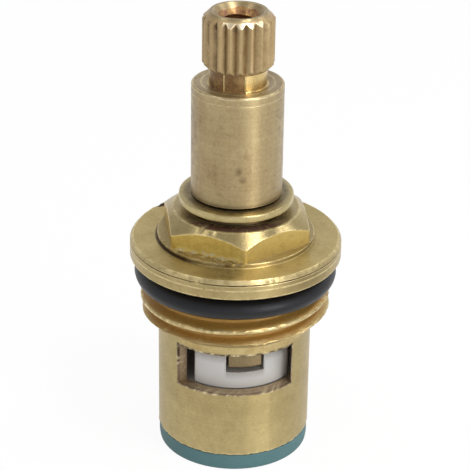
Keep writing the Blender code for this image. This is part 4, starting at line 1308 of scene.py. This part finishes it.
class CARTRIDGE_OT_inner(bpy.types.Operator):
    """Build the thrust washer and the ring inside the seal"""
    bl_idname = "cartridge.inner"
    bl_label = "Washer and seal support"

    def execute(self, context):
        tones = context.scene.cartridge_soft
        outer = CHAMBER_RADIUS - FIT_GAP
        profile = [(outer, WASHER_LOW.z), (outer, WASHER_HIGH.z), (GLAND_RADIUS, WASHER_HIGH.z),
                   (GLAND_RADIUS, WASHER_LOW.z)]
        washer = plain_object("foot_washer", lathe(EVEN_COLUMNS, rounded(profile, 0.05 * MM)))
        combine(washer, 'DIFFERENCE', sector, (FOOT_HUB_RADIUS + FIT_GAP, outer + 1.0 * MM, 7.0),
                STOP_TURNS, WASHER_LOW.z - SEAT_GAP, WASHER_HIGH.z + SEAT_GAP)
        # Acetal sheet, stamped: off white and slightly waxy
        acetal = moulded("stamped_acetal", tones.washer, 0.45, 0.04, 0.4 * MM, ior=1.48)
        finished(washer, "root", "washer_plastic", ["thrust_washer"], acetal)

        bore, sleeve, brim = 4.9 * MM, 5.4 * MM, 5.9 * MM
        foot = SUPPORT_HIGH.z - 0.8 * MM
        profile = [(bore, SUPPORT_LOW.z), (sleeve, SUPPORT_LOW.z), (sleeve, foot), (brim, foot),
                   (brim, SUPPORT_HIGH.z), (bore, SUPPORT_HIGH.z)]
        support = plain_object("seal_sleeve", lathe(EVEN_COLUMNS, rounded(profile, 0.06 * MM)))
        # Pressed stainless steel: cool grey with drawing lines
        steel = brass("pressed_stainless_steel", tones.steel, "#9A9C9F", 0.3, 0.4, 0.3 * MM, 3.0 * MM,
                      smudge=0.0)
        finished(support, "root", "support_steel", ["seal_support"], steel)
        return {'FINISHED'}


def area_lamp(name, turn, elevation, distance, size, power, target):
    """Square lamp aimed at a point, placed by its plan angle and height angle."""
    data = bpy.data.lights.new(name, 'AREA')
    data.shape = 'SQUARE'
    data.size = size
    data.energy = power
    lamp = bpy.data.objects.new(name, data)
    rise = math.radians(elevation)
    lamp.location = target + at(distance * math.cos(rise), turn, distance * math.sin(rise))
    lamp.rotation_euler = (target - lamp.location).to_track_quat('-Z', 'Y').to_euler()
    bpy.context.scene.collection.objects.link(lamp)


def past_flag(place, depth):
    """Share of light left by a narrow dark flag that stands straight to the right."""
    plan = add(place.tree, 'ShaderNodeVectorMath', {0: place, 1: (1, 1, 0)}, operation='MULTIPLY')
    unit = add(place.tree, 'ShaderNodeVectorMath', {0: plan}, operation='NORMALIZE')
    aside = add(place.tree, 'ShaderNodeVectorMath', {0: unit, 1: (0.985, 0.17, 0.0)}, operation='DISTANCE')
    return aside["Value"].ramp(0.15, 0.5, 1.0 - depth, 1.0)


class CARTRIDGE_OT_stage(bpy.types.Operator):
    """Build the floor, lamps, surroundings and camera"""
    bl_idname = "cartridge.stage"
    bl_label = "Stage"

    def execute(self, context):
        scene = context.scene
        sizes = scene.cartridge_stage
        dimmer, brighter = 1.0 - sizes.side_lift, 1.0 + sizes.side_lift
        data = bmesh.new()
        bmesh.ops.create_grid(data, x_segments=1, y_segments=1, size=3.0)
        bmesh.ops.translate(data, vec=(0.0, 0.0, -0.01 * MM), verts=data.verts)
        floor = plain_object("studio_floor", data)
        # Coated white paper: matt, and lit so evenly that the camera and the metal see it as plain white
        paper, tree, shader = new_material("white_paper_floor")
        tree.nodes.remove(shader)
        sheet = add(tree, 'ShaderNodeBsdfDiffuse', {"Color": to_linear("#F4F4F4")})
        shine = add(tree, 'ShaderNodeEmission', {"Color": (1, 1, 1, 1), "Strength": 1.0})
        place = add(tree, 'ShaderNodeTexCoord')["Object"]
        across = add(tree, 'ShaderNodeSeparateXYZ', {0: place})["X"]
        light = across.ramp(-50 * MM, 50 * MM, dimmer, brighter) * past_flag(place, sizes.flag_depth)
        path = add(tree, 'ShaderNodeLightPath')
        mirrored = highest(path["Is Glossy Ray"], path["Is Transmission Ray"]) * light * sizes.floor_mirrored
        share = highest(path["Is Camera Ray"] * sizes.floor_shown, mirrored)
        mixed = add(tree, 'ShaderNodeMixShader', {0: share, 1: sheet, 2: shine})
        feed(tree, tree.nodes["Material Output"], {"Surface": mixed})
        floor.data.materials.append(paper)

        world = scene.world or bpy.data.worlds.new("studio")
        scene.world = world
        world.use_nodes = True
        tree = world.node_tree
        tree.nodes.clear()
        # White paper curves up all round and fades to a greyer room above
        aim = add(tree, 'ShaderNodeTexCoord')["Generated"]
        axes = add(tree, 'ShaderNodeSeparateXYZ', {0: aim})
        level = axes["Z"].ramp(0.1, 0.6, sizes.horizon_level, sizes.zenith_level, 'SMOOTHSTEP')
        level = level * past_flag(aim, sizes.flag_depth) * axes["X"].ramp(-1.0, 1.0, dimmer, brighter)
        seen = add(tree, 'ShaderNodeLightPath')["Is Camera Ray"]
        level = level * (1.0 - seen) + seen
        around = add(tree, 'ShaderNodeBackground', {"Color": (1, 1, 1, 1), "Strength": level})
        add(tree, 'ShaderNodeOutputWorld', {"Surface": around})

        middle = Vector((0.0, 0.0, 25.0 * MM))
        for name, turn, elevation, distance, size, power in (
                ("key_lamp", 46.0, 60.0, 0.35, 0.1, sizes.key_power),
                ("side_lamp", 40.0, 12.0, 0.4, 0.16, sizes.side_power),
                ("edge_lamp", 110.0, 45.0, 0.4, 0.12, sizes.edge_power),
                ("fill_lamp", -80.0, 55.0, 0.4, 0.12, sizes.fill_power)):
            area_lamp(name, turn, elevation, distance, size, power, middle)

        # Camera as fitted to the photograph, about 26 degrees up and 200 mm away
        lens = bpy.data.cameras.new("camera")
        lens.sensor_width = 36.0
        lens.lens = sizes.lens
        lens.clip_start = 0.01
        lens.clip_end = 10.0
        camera = bpy.data.objects.new("camera", lens)
        aside = Vector((-0.08 * MM, 0.0, 0.0))
        place = Vector((0.0, -179.9 * MM, 113.3 * MM)) + aside
        aimed = (middle + aside - place).to_track_quat('-Z', 'Y').to_matrix().to_4x4()
        roll = Matrix.Rotation(math.radians(0.84), 4, 'Z')
        camera.matrix_world = Matrix.Translation(place) @ aimed @ roll
        scene.collection.objects.link(camera)
        scene.camera = camera
        scene.view_settings.view_transform = 'Standard'
        return {'FINISHED'}


OPERATORS = (CARTRIDGE_OT_housing, CARTRIDGE_OT_spindle, CARTRIDGE_OT_clip, CARTRIDGE_OT_rubber,
             CARTRIDGE_OT_discs, CARTRIDGE_OT_inner, CARTRIDGE_OT_stage)
GROUPS = {"cartridge_housing": HousingSettings, "cartridge_spindle": SpindleSettings,
          "cartridge_soft": SoftSettings, "cartridge_stage": StageSettings}


class CARTRIDGE_PT_pieces(bpy.types.Panel):
    """Lists the pieces of the cartridge and their sizes"""
    bl_label = "Cartridge"
    bl_space_type = 'VIEW_3D'
    bl_region_type = 'UI'
    bl_category = "Cartridge"

    def draw(self, context):
        for operator in OPERATORS:
            self.layout.operator(operator.bl_idname)
        for group in GROUPS:
            settings = getattr(context.scene, group)
            box = self.layout.box()
            for name in settings.__annotations__:
                box.prop(settings, name)


def register():
    for item in (*GROUPS.values(), *OPERATORS, CARTRIDGE_PT_pieces):
        bpy.utils.register_class(item)
    for name, group in GROUPS.items():
        setattr(bpy.types.Scene, name, PointerProperty(type=group))


def unregister():
    for name in GROUPS:
        delattr(bpy.types.Scene, name)
    for item in reversed((*GROUPS.values(), *OPERATORS, CARTRIDGE_PT_pieces)):
        bpy.utils.unregister_class(item)


def main():
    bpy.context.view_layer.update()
    register()
    for operator in OPERATORS:
        group, name = operator.bl_idname.split(".")
        getattr(getattr(bpy.ops, group), name)()


if __name__ == "__main__":
    main()
